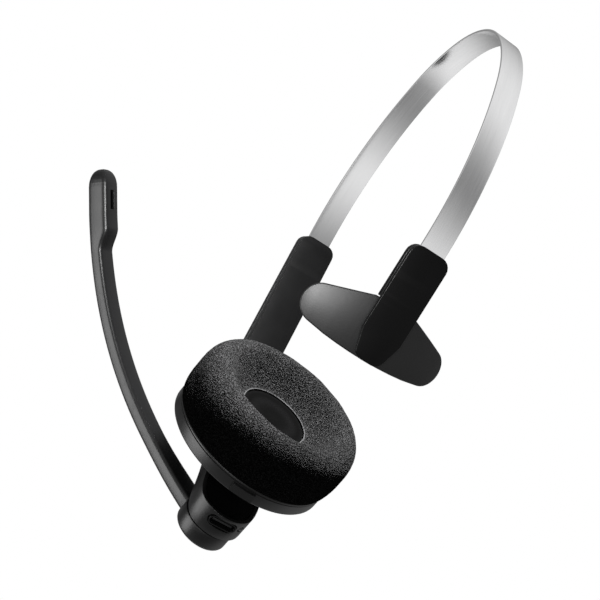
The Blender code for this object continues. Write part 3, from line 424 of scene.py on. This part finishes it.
plasticLooks = {
    "deepBlack": {"colour": (0.002, 0.002, 0.0021), "specular": 0.1, "roughness": 0.3,
                  "glossSpread": 0.05, "grainSize": 5200.0, "grainDepth": 0.000008,
                  "scratchScale": 240.0, "scratches": 0.3, "dust": 0.06},
    # Painted shade: the port's steel shell is coloured near black to stand for the shade inside the port's
    # recess
    "portShadeSteel": {"colour": (0.006, 0.006, 0.0062), "specular": 0.2, "roughness": 0.25,
                  "glossSpread": 0.03, "grainSize": 5200.0, "grainDepth": 0.000004,
                  "scratchScale": 300.0, "scratches": 0.3, "dust": 0.0},
    "lipGrey": {"colour": (0.1, 0.1, 0.102), "specular": 0.6, "roughness": 0.4,
                "glossSpread": 0.03, "grainSize": 5200.0, "grainDepth": 0.000004,
                "scratchScale": 300.0, "scratches": 0.1, "dust": 0.0},
    "satinBlack": {"colour": (0.005, 0.005, 0.0052), "specular": 0.25, "roughness": 0.34,
                   "glossSpread": 0.05, "grainSize": 5200.0, "grainDepth": 0.000012,
                   "scratchScale": 240.0, "scratches": 0.3, "dust": 0.08},
    "glossBlack": {"colour": (0.004, 0.004, 0.0042), "specular": 0.2, "roughness": 0.2,
                   "glossSpread": 0.03, "grainSize": 6000.0, "grainDepth": 0.000004,
                   "scratchScale": 300.0, "scratches": 0.25, "dust": 0.1},
    "softTouch": {"colour": (0.006, 0.006, 0.0062), "specular": 0.28, "roughness": 0.42,
                  "glossSpread": 0.05, "grainSize": 4200.0, "grainDepth": 0.000015,
                  "scratchScale": 200.0, "scratches": 0.2, "dust": 0.12},
    "cellFoil": {"colour": (0.2, 0.22, 0.27), "specular": 0.5, "roughness": 0.4,
                 "glossSpread": 0.1, "grainSize": 900.0, "grainDepth": 0.00005,
                 "scratchScale": 200.0, "scratches": 0.4, "dust": 0.1},
}
bandSteelLook = {"colour": (0.95, 0.95, 0.955), "roughness": 0.17, "stretch": (1.0, 80.0, 1.0),
                 "lineScale": 75.0, "lineDepth": 0.000004}
screwSteelLook = {"colour": (0.6, 0.6, 0.61), "roughness": 0.3, "stretch": (1.0, 1.0, 1.0),
                  "lineScale": 3000.0, "lineDepth": 0.000006}
# The foam's hole colour is painted shade in the cells, and its fibre colour is painted light on the fibres
foamLook = {"cellScale": 2600.0, "smoothness": 0.25, "wobble": 0.0003, "wobbleScale": 0.8, "fibreScale": 2.6,
            "fibreShare": 0.7, "shadedHoleEdge": 0.6, "litFibreEdge": 1.2, "hole": (0.001, 0.001, 0.001),
            "litFibre": (0.085, 0.085, 0.086), "roughness": 0.9, "specular": 0.0, "depth": 0.0004}
clothLook = {"threadScale": 900.0, "tilt": 65.0, "unevenness": 0.8, "dark": (0.0015, 0.0015, 0.0015),
             "light": (0.006, 0.006, 0.0062), "roughness": 0.8, "specular": 0.08, "depth": 0.00004,
             "strength": 0.7}
boardLook = {"trackScale": 700.0, "trackWidth": 0.04, "coat": (0.01, 0.09, 0.04), "track": (0.04, 0.2, 0.09),
             "roughness": 0.35, "depth": 0.00003}
lampLook = {"dark": (0.03, 0.03, 0.032), "light": (0.08, 0.08, 0.085), "roughness": 0.15, "coat": 0.6}

finishes = {name: makePlastic(name, look) for name, look in plasticLooks.items()}
finishes["bandSteel"] = makeBrushedSteel("bandSteel", bandSteelLook)
finishes["screwSteel"] = makeBrushedSteel("screwSteel", screwSteelLook)
finishes["openFoam"] = makeFoamFinish("openFoam", foamLook)
finishes["speakerCloth"] = makeWeave("speakerCloth", clothLook)
finishes["boardGreen"] = makeBoardFinish("boardGreen", boardLook)
finishes["lampClear"] = makeLightFinish("lampClear", lampLook)
print("finishes made:", len(finishes))


# Building and finishing pieces

def finishPiece(name, bm, place, finish, body, nodes, sharpAngle=32.0):
    bmesh.ops.transform(bm, matrix=place, verts=bm.verts)
    bmesh.ops.remove_doubles(bm, verts=bm.verts, dist=0.000002)
    bmesh.ops.recalc_face_normals(bm, faces=bm.faces)
    mesh = bpy.data.meshes.new(name)
    bm.to_mesh(mesh)
    bm.free()
    mesh.shade_smooth()
    mesh.set_sharp_from_angle(angle=math.radians(sharpAngle))
    mesh.materials.append(finishes[finish])
    piece = bpy.data.objects.new(name, mesh)
    bpy.context.scene.collection.objects.link(piece)
    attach(piece, body)
    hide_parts(*nodes)
    return piece


def sharpEdges(bm, angle):
    limit = math.radians(angle)
    return [edge for edge in bm.edges if len(edge.link_faces) == 2 and edge.calc_face_angle() > limit]


def roundEdges(bm, edges, width, segments=3):
    bmesh.ops.bevel(bm, geom=edges, offset=width, offset_type="OFFSET", segments=segments, profile=0.5,
                    affect="EDGES", clamp_overlap=True, material=-1)


softening = {"flatAngle": 0.8, "edgeAngle": 40.0, "segments": 3}


def softened(name, node, finish, width, body):
    # A copy of a hard CAD part with its edges rounded as a mould leaves them
    bm = bmesh.new()
    bm.from_mesh(frame["nodes"][node].data)
    bmesh.ops.remove_doubles(bm, verts=bm.verts, dist=0.000004)
    bmesh.ops.dissolve_limit(bm, angle_limit=math.radians(softening["flatAngle"]),
                             use_dissolve_boundaries=False, verts=bm.verts, edges=bm.edges)
    roundEdges(bm, sharpEdges(bm, softening["edgeAngle"]), width, softening["segments"])
    return finishPiece(name, bm, Matrix.Identity(4), finish, body, (node,))


def ringProfile(bm, points):
    verts = [bm.verts.new((along, 0.0, radius)) for along, radius in points]
    edges = [bm.edges.new(pair) for pair in zip(verts, verts[1:])]
    return verts, edges


def spunPiece(points, steps, closed=False):
    # Turns a profile of (along the axis, radius) about the local X axis
    bm = bmesh.new()
    verts, edges = ringProfile(bm, points)
    if closed:
        edges.append(bm.edges.new((verts[-1], verts[0])))
    bmesh.ops.spin(bm, geom=verts + edges, cent=(0, 0, 0), axis=(1, 0, 0), angle=math.tau, steps=steps,
                   use_merge=True)
    bmesh.ops.remove_doubles(bm, verts=bm.verts, dist=0.000002)
    bmesh.ops.dissolve_degenerate(bm, edges=bm.edges, dist=0.000001)
    return bm


def roundedSection(bm, width, thick, corner, segments):
    # A rounded rectangle, its thickness along X and its width along Y
    bmesh.ops.create_grid(bm, x_segments=1, y_segments=1, size=0.5)
    bmesh.ops.scale(bm, vec=(thick, width, 1.0), verts=bm.verts)
    bmesh.ops.bevel(bm, geom=bm.verts[:], offset=corner, offset_type="OFFSET", segments=segments,
                    profile=0.5, affect="VERTICES", material=-1)
    return bm.faces[:][0]


def extrudeOn(bm, face, move):
    made = bmesh.ops.extrude_face_region(bm, geom=[face])["geom"]
    verts = [item for item in made if isinstance(item, bmesh.types.BMVert)]
    bmesh.ops.transform(bm, matrix=move, verts=verts)
    return [item for item in made if isinstance(item, bmesh.types.BMFace)][0]


# Band

band = {"width": 0.008, "thick": 0.0008, "corner": 0.00022, "crown": (0.030, 30.5),
        "shoulder": (0.042, 57.0), "side": 0.086, "earLean": 8.0, "templeLean": 3.2, "earMouth": 0.07746,
        "templeMouth": 0.0695,
        "earReach": 0.0365, "templeReach": 0.027, "stepDegrees": 0.5}


def bandStations(side):
    # Middle line from the crown down one side, as (x, z, turn)
    end = "ear" if side < 0 else "temple"
    lean, mouth, reach = band[end + "Lean"], band[end + "Mouth"], band[end + "Reach"]
    x, z, start = 0.0, 0.0, 0.0
    stations = []
    for radius, finish in (band["crown"], band["shoulder"], (band["side"], 90.0 + lean)):
        centreX = x - radius * math.sin(math.radians(start))
        centreZ = z - radius * math.cos(math.radians(start))
        steps = math.ceil((finish - start) / band["stepDegrees"])
        for step in range(1, steps + 1):
            turn = math.radians(start + (finish - start) * step / steps)
            x, z = centreX + radius * math.sin(turn), centreZ + radius * math.cos(turn)
            stations.append((side * x, z, side * turn))
        start = finish
    drop = mouth + reach * math.cos(math.radians(lean)) + z
    x, z = x - drop * math.tan(math.radians(lean)), z - drop
    stations.append((side * x, z, side * math.radians(90.0 + lean)))
    return stations


def stationMatrix(x, z, turn):
    upright = Matrix.Rotation(-math.pi / 2, 4, "Y")
    return Matrix.Translation((x, 0, z)) @ Matrix.Rotation(turn, 4, "Y") @ upright


def makeBand():
    bm = bmesh.new()
    face = roundedSection(bm, band["width"], band["thick"], band["corner"], 3)
    place = stationMatrix(0.0, 0.0, 0.0)
    bmesh.ops.transform(bm, matrix=place, verts=bm.verts)
    for side in (1, -1):
        last = place
        for station in bandStations(side):
            now = stationMatrix(*station)
            face = extrudeOn(bm, face, now @ last.inverted())
            last = now
        if side == 1:
            face = min(bm.faces, key=lambda item: item.calc_center_median().length)
    return finishPiece("bandStrip", bm, Matrix.Identity(4), "bandSteel", "headband",
                       ("headband_strip",))


makeBand()
print("band made")


# Temple pad: two round lobes bent about the arm

pad = {"span": 0.0478, "tipRadius": 0.0057, "top": 0.0176, "height": 0.0170, "thick": 0.0012,
       "armIn": 0.0018, "bendRadius": 0.066, "neck": 0.0065, "edge": 0.0004, "slice": 0.0012,
       "lobeSides": 64}


def addDisc(bm, y, z, radius, low, high):
    turn = Matrix.Rotation(math.pi / 2, 4, "Y")
    place = Matrix.Translation(((low + high) / 2, y, z)) @ turn
    bmesh.ops.create_cone(bm, cap_ends=True, segments=pad["lobeSides"], radius1=radius, radius2=radius,
                          depth=high - low, matrix=place)


def makePad():
    bm = bmesh.new()
    bottom = -pad["top"] - pad["height"]
    tipY = pad["span"] / 2 - pad["tipRadius"]
    tipZ = bottom + pad["tipRadius"] + 0.0014
    high = -pad["armIn"] + pad["thick"]
    low = -pad["armIn"]
    for side in (-1, 1):
        addDisc(bm, side * tipY, tipZ, pad["tipRadius"], low, high)
        for depth in (low, high):
            for y, z in ((pad["neck"] + 0.003, -pad["top"] - 0.0014), (pad["neck"], -pad["top"])):
                bm.verts.new((depth, side * y, z))
            for share in (0.0, 0.25, 0.5, 0.75):
                bm.verts.new((depth, side * tipY * share, bottom + 0.0012 * share * share))
    hull = bmesh.ops.convex_hull(bm, input=bm.verts)
    loose = [item for item in dict.fromkeys(hull["geom_interior"] + hull["geom_unused"])
             if isinstance(item, bmesh.types.BMVert)]
    bmesh.ops.delete(bm, geom=loose, context="VERTS")
    bmesh.ops.remove_doubles(bm, verts=bm.verts, dist=0.000002)
    bmesh.ops.dissolve_limit(bm, angle_limit=math.radians(1.0), verts=bm.verts, edges=bm.edges)
    roundEdges(bm, sharpEdges(bm, 50.0), pad["edge"], 3)
    cuts = int(pad["span"] / pad["slice"])
    for step in range(1, cuts):
        y = -pad["span"] / 2 + pad["span"] * step / cuts
        bmesh.ops.bisect_plane(bm, geom=bm.verts[:] + bm.edges[:] + bm.faces[:], plane_co=(0, y, 0),
                               plane_no=(0, 1, 0), dist=0.000001)
    for vert in bm.verts:
        angle = vert.co.y / pad["bendRadius"]
        radius = pad["bendRadius"] + vert.co.x - high
        vert.co.x = radius * math.cos(angle) - pad["bendRadius"] + high
        vert.co.y = radius * math.sin(angle)
    return finishPiece("templePad", bm, inTemple, "softTouch", "headband", ("temple_pad",))


makePad()
print("temple pad made")


# Foam cushion

foam = {"low": 0.0049, "radius": 0.0275, "crest": 0.0217, "crestRadius": 0.0211, "waist": 0.0116,
        "squareness": 2.7, "floor": 0.0135, "floorRadius": 0.0109, "under": 0.0125, "housingRadius": 0.0155,
        "sideSteps": 36, "dishSteps": 26, "turns": 160, "lumps": 0.00018, "lumpSize": 0.006, "grit": 0.00005,
        "gritSize": 0.0009, "seed": 11}


def smoothStep(value):
    value = min(max(value, 0.0), 1.0)
    return value * value * (3.0 - 2.0 * value)


def foamPoints():
    height, width = foam["crest"] - foam["waist"], foam["radius"] - foam["crestRadius"]
    power = 2 / foam["squareness"]
    start = -math.asin(((foam["waist"] - foam["low"]) / height) ** (1 / power))
    points = []
    for step in range(foam["sideSteps"] + 1):
        angle = start + (0.5 * math.pi - start) * step / foam["sideSteps"]
        rise = math.copysign(abs(math.sin(angle)) ** power, angle)
        bulge = max(math.cos(angle), 0) ** power
        points.append((foam["waist"] + height * rise, foam["crestRadius"] + width * bulge))
    for step in range(1, foam["dishSteps"] + 1):
        share = step / foam["dishSteps"]
        points.append((foam["crest"] - (foam["crest"] - foam["floor"]) * smoothStep(share),
                       foam["crestRadius"] - (foam["crestRadius"] - foam["floorRadius"]) * share))
    return points + [(foam["under"], foam["floorRadius"]), (foam["under"], foam["housingRadius"]),
                     (foam["low"], foam["housingRadius"])]


def makeFoam():
    bm = spunPiece(foamPoints(), foam["turns"], True)
    bmesh.ops.recalc_face_normals(bm, faces=bm.faces)
    bm.normal_update()
    noise.seed_set(foam["seed"])
    for vert in bm.verts:
        if vert.co.x > foam["low"] + 0.0006 and vert.co.yz.length > foam["floorRadius"] + 0.0002:
            lump = noise.noise(vert.co / foam["lumpSize"]) * foam["lumps"]
            grit = noise.noise(vert.co / foam["gritSize"]) * foam["grit"]
            vert.co += vert.normal * (lump + grit)
    piece = finishPiece("foamCushion", bm, inCup, "openFoam", "ear_cup", ("foam_cushion",), 60.0)
    return piece


makeFoam()

speaker = {"low": 0.0125, "top": 0.0135, "radius": 0.0106, "dome": 0.0005, "edge": 0.0002,
           "domeShare": 0.97, "steps": 10, "turns": 72}


def makeSpeakerCloth():
    low, top, radius, edge = (speaker[key] for key in ("low", "top", "radius", "edge"))
    points = [(low, 0.0), (low, radius), (top - edge, radius), (top, radius - edge)]
    for step in range(1, speaker["steps"] + 1):
        share = 1 - step / speaker["steps"]
        sunk = speaker["dome"] * (1 - share * share)
        points.append((top - sunk, radius * share * speaker["domeShare"]))
    return finishPiece("speakerClothDisc", spunPiece(points, speaker["turns"]), inCup, "speakerCloth",
                       "ear_cup", ("speaker_cloth",))


makeSpeakerCloth()

lip = {"middle": 0.01375, "radius": 0.0110, "thick": 0.0002, "sides": 10, "turns": 96}


def makeLip():
    # Bonded edge of the foam round its hole
    points = []
    for step in range(lip["sides"]):
        angle = math.tau * step / lip["sides"]
        rise, spread = lip["thick"] * math.sin(angle), lip["thick"] * math.cos(angle)
        points.append((lip["middle"] + rise, lip["radius"] + spread))
    return finishPiece("foamLip", spunPiece(points, lip["turns"], True), inCup, "lipGrey", "ear_cup",
                       ("foam_cushion",))


makeLip()
print("cushion and speaker cloth made")


# Ear plate: a rounded ring with a groove under the foam

plate = {"wall": 0.0018, "hole": 0.0136, "webLow": 0.002, "webHigh": 0.0034, "round": 0.0006,
         "groove": 0.0039, "grooveDepth": 0.0003, "grooveWidth": 0.0004, "turns": 128,
         "panelFrom": -1.0, "panelTo": 16.0,
         "panelEdge": 0.00025, "panelDepth": 0.0011, "panelTall": 0.001, "panelRadius": 0.02516,
         "roundSteps": 4, "edge": 0.0002}


def insetPanel(bm):
    # A sunk panel in the ring's side, over the control pod
    bm.normal_update()
    faces = []
    for face in bm.faces:
        middle = face.calc_center_median()
        turn = math.degrees(math.atan2(-middle.y, -middle.z))
        tall = max(vert.co.x for vert in face.verts) - min(vert.co.x for vert in face.verts)
        outside = tall > plate["panelTall"] and middle.yz.length > plate["panelRadius"]
        if outside and plate["panelFrom"] < turn < plate["panelTo"]:
            faces.append(face)
    bmesh.ops.inset_region(bm, faces=faces, thickness=plate["panelEdge"], depth=0.0)
    bmesh.ops.inset_region(bm, faces=faces, thickness=plate["panelEdge"] / 2, depth=-plate["panelDepth"])


def makePlate():
    radius, depth = cupSizes["plateRadius"], cupSizes["plateDepth"]
    inner, edge, halfGroove = radius - plate["wall"], plate["edge"], plate["grooveWidth"] / 2
    points = []
    for step in range(plate["roundSteps"], -1, -1):
        angle = math.radians(90 * step / plate["roundSteps"])
        rise, back = 1 - math.sin(angle), 1 - math.cos(angle)
        points.append((plate["round"] * rise, radius - plate["round"] * back))
    outer = [(plate["groove"] - halfGroove, radius), (plate["groove"], radius - plate["grooveDepth"]),
             (plate["groove"] + halfGroove, radius), (depth - edge, radius), (depth, radius - edge)]
    inside = [(depth, inner), (plate["webHigh"], inner), (plate["webHigh"], plate["hole"]),
              (plate["webLow"], plate["hole"]), (plate["webLow"], inner), (0.0, inner)]
    bm = spunPiece(points + outer + inside, plate["turns"], True)
    insetPanel(bm)
    return finishPiece("earPlateRing", bm, inCup, "satinBlack", "ear_cup", ("ear_plate",))


makePlate()
print("ear plate made")


# Boom: a hub, a stem that curves inward, and the microphone head

def boomRise(reach):
    return boomSizes["rise"] * (max(reach, 0.0) / boomSizes["reach"]) ** boomSizes["curve"]


def boomSection(reach):
    # Width, thickness and inward shift of the boom at a reach from its axis
    sizes = boomSizes
    root = smoothStep((sizes["rootEnd"] - reach) / sizes["rootFade"])
    headFrom = sizes["reach"] - sizes["headLength"] - sizes["headLead"]
    head = smoothStep((reach - headFrom) / sizes["headFade"])
    width = sizes["armWidth"] + (sizes["rootWidth"] - sizes["armWidth"]) * root
    width += (sizes["headWidth"] - sizes["armWidth"]) * head
    thick = sizes["armThick"] + (sizes["rootThick"] - sizes["armThick"]) * root
    swell = (sizes["headThick"] - sizes["armThick"]) * head
    return width, thick + swell, swell / 2


def boomStation(reach, scale):
    width, thick, shift = boomSection(reach)
    slope = math.atan2(boomRise(reach + 0.0001) - boomRise(reach - 0.0001), 0.0002)
    turn = Matrix.Rotation(slope, 4, "Y")
    thick, width = thick * scale / boomSizes["armThick"], width * scale / boomSizes["armWidth"]
    grow = Matrix.Diagonal((thick, width, 1.0, 1.0))
    return Matrix.Translation((boomRise(reach), 0, reach)) @ turn @ Matrix.Translation((shift, 0, 0)) @ grow


def sweepBoom(reaches, scales):
    bm = bmesh.new()
    corner = boomSizes["cornerShare"] * boomSizes["armThick"]
    face = roundedSection(bm, boomSizes["armWidth"], boomSizes["armThick"], corner, 4)
    scales = scales or [1.0] * len(reaches)
    last = boomStation(reaches[0], scales[0])
    bmesh.ops.transform(bm, matrix=last, verts=bm.verts)
    for reach, scale in zip(reaches[1:], scales[1:]):
        now = boomStation(reach, scale)
        face = extrudeOn(bm, face, now @ last.inverted())
        last = now
    return bm


tip = {"round": 0.0042, "steps": 8, "slotFrom": 0.1007, "slotTo": 0.1073, "slotInset": 0.0016,
       "slotDepth": 0.0016, "slotEdge": 0.00008}


def boomReaches(start):
    # Stations along the boom, with one long span where the microphone's slot goes
    sizes = boomSizes
    straight = sizes["reach"] - tip["round"]
    neck = sizes["reach"] - sizes["headLength"]
    neckStart, neckEnd = neck - sizes["headLead"], neck + sizes["headTail"]
    spans = ((start, neckStart, 50), (neckStart, neckEnd, 18), (neckEnd, tip["slotFrom"], 8),
             (tip["slotFrom"], tip["slotTo"], 1))
    reaches = [start]
    for low, high, steps in spans:
        reaches += [low + (high - low) * step / steps for step in range(1, steps + 1)]
    scales = [1.0] * len(reaches)
    for step in range(1, tip["steps"] + 1):
        angle = math.radians(86 * step / tip["steps"])
        reaches.append(straight + tip["round"] * math.sin(angle))
        scales.append(math.cos(angle) ** 0.8)
    return reaches, scales


def cutSlot(bm):
    bmesh.ops.recalc_face_normals(bm, faces=bm.faces)
    bm.normal_update()
    middle = (tip["slotFrom"] + tip["slotTo"]) / 2
    inward = Vector((1.0, 0.0, -0.9)).normalized()
    near = [face for face in bm.faces if abs(face.calc_center_median().z - middle) < 0.006]
    face = max(near, key=lambda item: item.normal.dot(inward) * item.calc_area())
    bmesh.ops.inset_region(bm, faces=[face], thickness=tip["slotInset"], depth=0.0)
    bmesh.ops.inset_region(bm, faces=[face], thickness=tip["slotEdge"], depth=-tip["slotEdge"])
    bmesh.ops.inset_region(bm, faces=[face], thickness=tip["slotEdge"], depth=-tip["slotDepth"])


def makeBoom():
    sizes = boomSizes
    start = (sizes["recessRadius"] + sizes["hubRadius"]) / 2 - 0.0002
    stem = sweepBoom(*boomReaches(start))
    cutSlot(stem)
    finishPiece("boomStem", stem, inBoom, "satinBlack", "boom",
                ("boom_arm", "mic_housing"), 40.0)
    half = sizes["hubLength"] / 2
    rim, recess = sizes["hubRadius"], sizes["recessRadius"]
    bore, edge, corner = hubLook["bore"], hubLook["edge"], hubLook["rim"]
    points = [(half, bore), (half, rim - corner), (half - corner / 4, rim - corner / 4),
              (half - corner, rim)]
    for step in range(hubLook["roundSteps"] + 1):
        angle = math.radians(90 * step / hubLook["roundSteps"])
        rise, back = hubLook["round"] * (1 - math.sin(angle)), hubLook["round"] * (1 - math.cos(angle))
        points.append((-half + rise, rim - back))
    points += [(-half, recess + edge), (-half + edge, recess), (-half + sizes["recessDepth"], recess),
               (-half + sizes["recessDepth"], bore)]
    hub = spunPiece(points, hubLook["turns"], True)
    finishPiece("boomHub", hub, inBoom, "satinBlack", "boom", ("boom_arm",))


makeBoom()
print("boom made")


# Hard parts that keep their CAD shape, with moulded edges

hardParts = [
    ("templeArmOuter", "temple_arm_outer", "deepBlack", "black_plastic", 0.00055, "headband"),
    ("templeArmInner", "temple_arm_inner", "deepBlack", "black_plastic", 0.0004, "headband"),
    ("templeRivetUpper", "temple_rivet_upper", "screwSteel", "steel", 0.00012, "headband"),
    ("templeRivetLower", "temple_rivet_lower", "screwSteel", "steel", 0.00012, "headband"),
    ("earArmOuter", "ear_arm_outer", "satinBlack", "black_plastic", 0.0005, "ear_arm"),
    ("earArmInner", "ear_arm_inner", "satinBlack", "black_plastic", 0.0005, "ear_arm"),
    ("armScrewUpper", "arm_screw_upper", "screwSteel", "steel", 0.00012, "ear_arm"),
    ("armScrewLower", "arm_screw_lower", "screwSteel", "steel", 0.00012, "ear_arm"),
    ("podShell", "pod_shell", "satinBlack", "black_plastic", 0.0008, "ear_cup"),
    ("podFace", "pod_face", "glossBlack", "black_plastic", 0.0002, "ear_cup"),
    ("backCover", "back_cover", "satinBlack", "black_plastic", 0.0003, "ear_cup"),
    # The port shell takes the near-black steel colour, which is painted shade in the port's recess
    ("portShell", "port_shell", "portShadeSteel", "steel", 0.00008, "ear_cup"),
    ("portTongue", "port_tongue", "softTouch", "black_plastic", 0.0001, "ear_cup"),
    ("statusLight", "status_light", "lampClear", "light_clear", 0.00015, "ear_cup"),
    ("foldPin", "fold_pin", "screwSteel", "steel", 0.0002, "ear_cup"),
    ("foldWasher", "fold_washer", "screwSteel", "steel", 0.0001, "ear_cup"),
    ("hubAxle", "hub_axle", "screwSteel", "steel", 0.00015, "ear_cup"),
    ("callButton", "call_button", "softTouch", "soft_rubber", 0.0002, "call_key"),
    ("volumeUpButton", "volume_up_button", "softTouch", "soft_rubber", 0.0003, "volume_up_key"),
    ("volumeDownButton", "volume_down_button", "softTouch", "soft_rubber", 0.0003, "volume_down_key"),
    ("powerButton", "power_button", "softTouch", "soft_rubber", 0.0003, "power_key"),
]
for name, node, finish, slotName, width, body in hardParts:
    softened(name, node, finish, width, body)
print("hard parts softened:", len(hardParts))

marks = {"long": 0.0019, "thick": 0.0004, "proud": 0.00008, "dot": 0.0006, "sunk": 0.0001,
         "step": 0.00001}
buttonMarks = (("volumeUpMark", "volume_up_button", "volume_up_key", "plus"),
               ("volumeDownMark", "volume_down_button", "volume_down_key", "minus"),
               ("powerMark", "power_button", "power_key", "dot"))


def makeMark(name, node, body, shape):
    # A raised sign in the middle of a button's outer face
    local = [inCup.inverted() @ vert.co for vert in frame["nodes"][node].data.vertices]
    face = min(point.x for point in local)
    middle = sum((point for point in local), Vector()) / len(local)
    bm = bmesh.new()
    depth = marks["proud"] + marks["sunk"]
    place = Matrix.Translation((face - marks["proud"] + depth / 2, middle.y, middle.z))
    if shape == "dot":
        bmesh.ops.create_cone(bm, cap_ends=True, segments=24, radius1=marks["dot"], radius2=marks["dot"],
                              depth=depth, matrix=place @ Matrix.Rotation(math.pi / 2, 4, "Y"))
    else:
        bars = [(marks["long"], marks["thick"])]
        if shape == "plus":
            bars.append((marks["thick"], marks["long"]))
        for wide, tall in bars:
            bmesh.ops.create_cube(bm, size=1.0, matrix=place @ Matrix.Diagonal((depth, wide, tall, 1.0)))
            depth += marks["step"]
    finishPiece(name, bm, inCup, "lipGrey", body, (node,))


for mark in buttonMarks:
    makeMark(*mark)
print("button marks made:", len(buttonMarks))

carriedOver = {"strip_end_stop": "satinBlack", "slide_bushing": "satinBlack",
               "speaker_housing": "satinBlack", "speaker_driver": "screwSteel",
               "speaker_magnet": "screwSteel", "pod_screw_front": "screwSteel",
               "pod_screw_rear": "screwSteel", "battery": "cellFoil", "circuit_board": "boardGreen",
               "mic_capsule": "screwSteel"}
for node, finish in carriedOver.items():
    item = frame["nodes"][node]
    for index in range(len(item.data.materials)):
        item.data.materials[index] = finishes[finish]
print("inner parts finished:", len(carriedOver))


# Studio: a white floor and backdrop, soft lights and the camera

studio = {"floorSize": 12.0, "floorDrop": 0.14, "ambient": 0.03}
# Brightness of the room round the Y axis, by the angle above +X
# A grey room with three equal broad panels of soft light, by angle around the band's own axis
roomPanels = {"panels": (-80, -10, 70), "panelTone": 0.85, "gaps": (-45, 30), "gapTone": 0.25}
lamps = [
    {"name": "topSoftbox", "toward": (0.15, -0.05, 0.95), "distance": 0.9, "size": 0.35, "power": 34.0,
     "glossy": False, "diffuse": True},
    {"name": "frontSoftbox", "toward": (0.92, -0.42, 0.1), "distance": 1.0, "size": 0.36, "power": 24.0,
     "glossy": True, "diffuse": False},
    {"name": "leftSoftbox", "toward": (0.0, -0.87, -0.49), "distance": 1.0, "size": 0.7, "power": 10.0,
     "glossy": True, "diffuse": False},
]
camera = {"place": (0.3465, -0.1331, -0.1053), "right": (0.2967, 0.805, 0.5137),
          "down": (0.1558, 0.4899, -0.8577), "forward": (-0.9422, 0.3346, 0.0199), "lens": 74.28,
          "sensor": 36.0}


def makeFloor():
    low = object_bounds()[0]
    bm = bmesh.new()
    bmesh.ops.create_grid(bm, x_segments=4, y_segments=4, size=studio["floorSize"] / 2)
    bmesh.ops.translate(bm, vec=(0, 0, low.z - studio["floorDrop"]), verts=bm.verts)
    mesh = bpy.data.meshes.new("studioFloor")
    bm.to_mesh(mesh)
    bm.free()
    floor = bpy.data.objects.new("studioFloor", mesh)
    bpy.context.scene.collection.objects.link(floor)
    material = bpy.data.materials.new("paleFloor")
    material.use_nodes = True
    tree = material.node_tree
    tree.nodes.remove(tree.nodes["Principled BSDF"])
    white = addNode(tree, "ShaderNodeEmission", None, {"Color": (1, 1, 1, 1), "Strength": 1.0})
    tree.links.new(white.outputs[0], tree.nodes["Material Output"].inputs["Surface"])
    mesh.materials.append(material)
    floor.visible_diffuse = floor.visible_glossy = floor.visible_transmission = floor.visible_shadow = False
    floor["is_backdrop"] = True


def makeWorld():
    world = bpy.data.worlds.new("studioWorld")
    bpy.context.scene.world = world
    world.use_nodes = True
    tree = world.node_tree
    back = tree.nodes["Background"]
    place = addNode(tree, "ShaderNodeTexCoord").outputs["Generated"]
    split = addNode(tree, "ShaderNodeSeparateXYZ")
    tree.links.new(place, split.inputs[0])
    turn = addMath(tree, "ARCTAN2", split.outputs["Z"], split.outputs["X"])
    ramp = addNode(tree, "ShaderNodeValToRGB")
    ramp.color_ramp.interpolation = "EASE"
    shades = ramp.color_ramp.elements
    for angles, tone in (("panels", "panelTone"), ("gaps", "gapTone")):
        for angle in roomPanels[angles]:
            shades.new((angle + 180) / 360).color = (roomPanels[tone],) * 3 + (1.0,)
    shades[0].color = shades[-1].color = (roomPanels["gapTone"],) * 3 + (1.0,)
    tree.links.new(addRange(tree, turn, -math.pi, math.pi, 0.0, 1.0), ramp.inputs["Fac"])
    path = addNode(tree, "ShaderNodeLightPath")
    grey = (studio["ambient"],) * 3 + (1.0,)
    room = addMix(tree, path.outputs["Is Diffuse Ray"], ramp.outputs["Color"], grey)
    tree.links.new(addMix(tree, path.outputs["Is Camera Ray"], room, (1, 1, 1, 1)), back.inputs["Color"])
    back.inputs["Strength"].default_value = 1.0


def makeLamps():
    # The side boxes only shine on the black parts, so the band keeps the even tones of the room
    low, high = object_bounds()
    middle = (low + high) / 2
    blackParts = bpy.data.collections.new("blackParts")
    for item in bpy.context.scene.objects:
        if item.type == "MESH" and item.name != "bandStrip":
            blackParts.objects.link(item)
    for lamp in lamps:
        light = bpy.data.lights.new(lamp["name"], "AREA")
        light.shape = "DISK"
        light.size = lamp["size"]
        light.energy = lamp["power"]
        item = bpy.data.objects.new(lamp["name"], light)
        bpy.context.scene.collection.objects.link(item)
        away = Vector(lamp["toward"]).normalized()
        item.location = middle + away * lamp["distance"]
        item.rotation_mode = "QUATERNION"
        item.rotation_quaternion = away.to_track_quat("Z", "Y")
        item.visible_camera = False
        item.visible_glossy, item.visible_diffuse = lamp["glossy"], lamp["diffuse"]
        if lamp["glossy"]:
            item.light_linking.receiver_collection = blackParts


def makeCamera():
    lens = bpy.data.cameras.new("studioCamera")
    lens.lens = camera["lens"]
    lens.sensor_width = camera["sensor"]
    lens.clip_start, lens.clip_end = 0.01, 30.0
    item = bpy.data.objects.new("studioCamera", lens)
    bpy.context.scene.collection.objects.link(item)
    axes = [Vector(camera["right"]), -Vector(camera["down"]), -Vector(camera["forward"])]
    item.matrix_world = Matrix.Translation(camera["place"]) @ Matrix(axes).transposed().to_4x4()
    bpy.context.scene.camera = item


for name in ("templeArmOuter", "templeArmInner", "templePad", "foamCushion", "foamLip"):
    bpy.context.scene.objects[name].visible_glossy = False
bpy.context.scene.view_settings.view_transform = "Standard"
makeFloor()
makeWorld()
makeLamps()
makeCamera()
print("studio made")
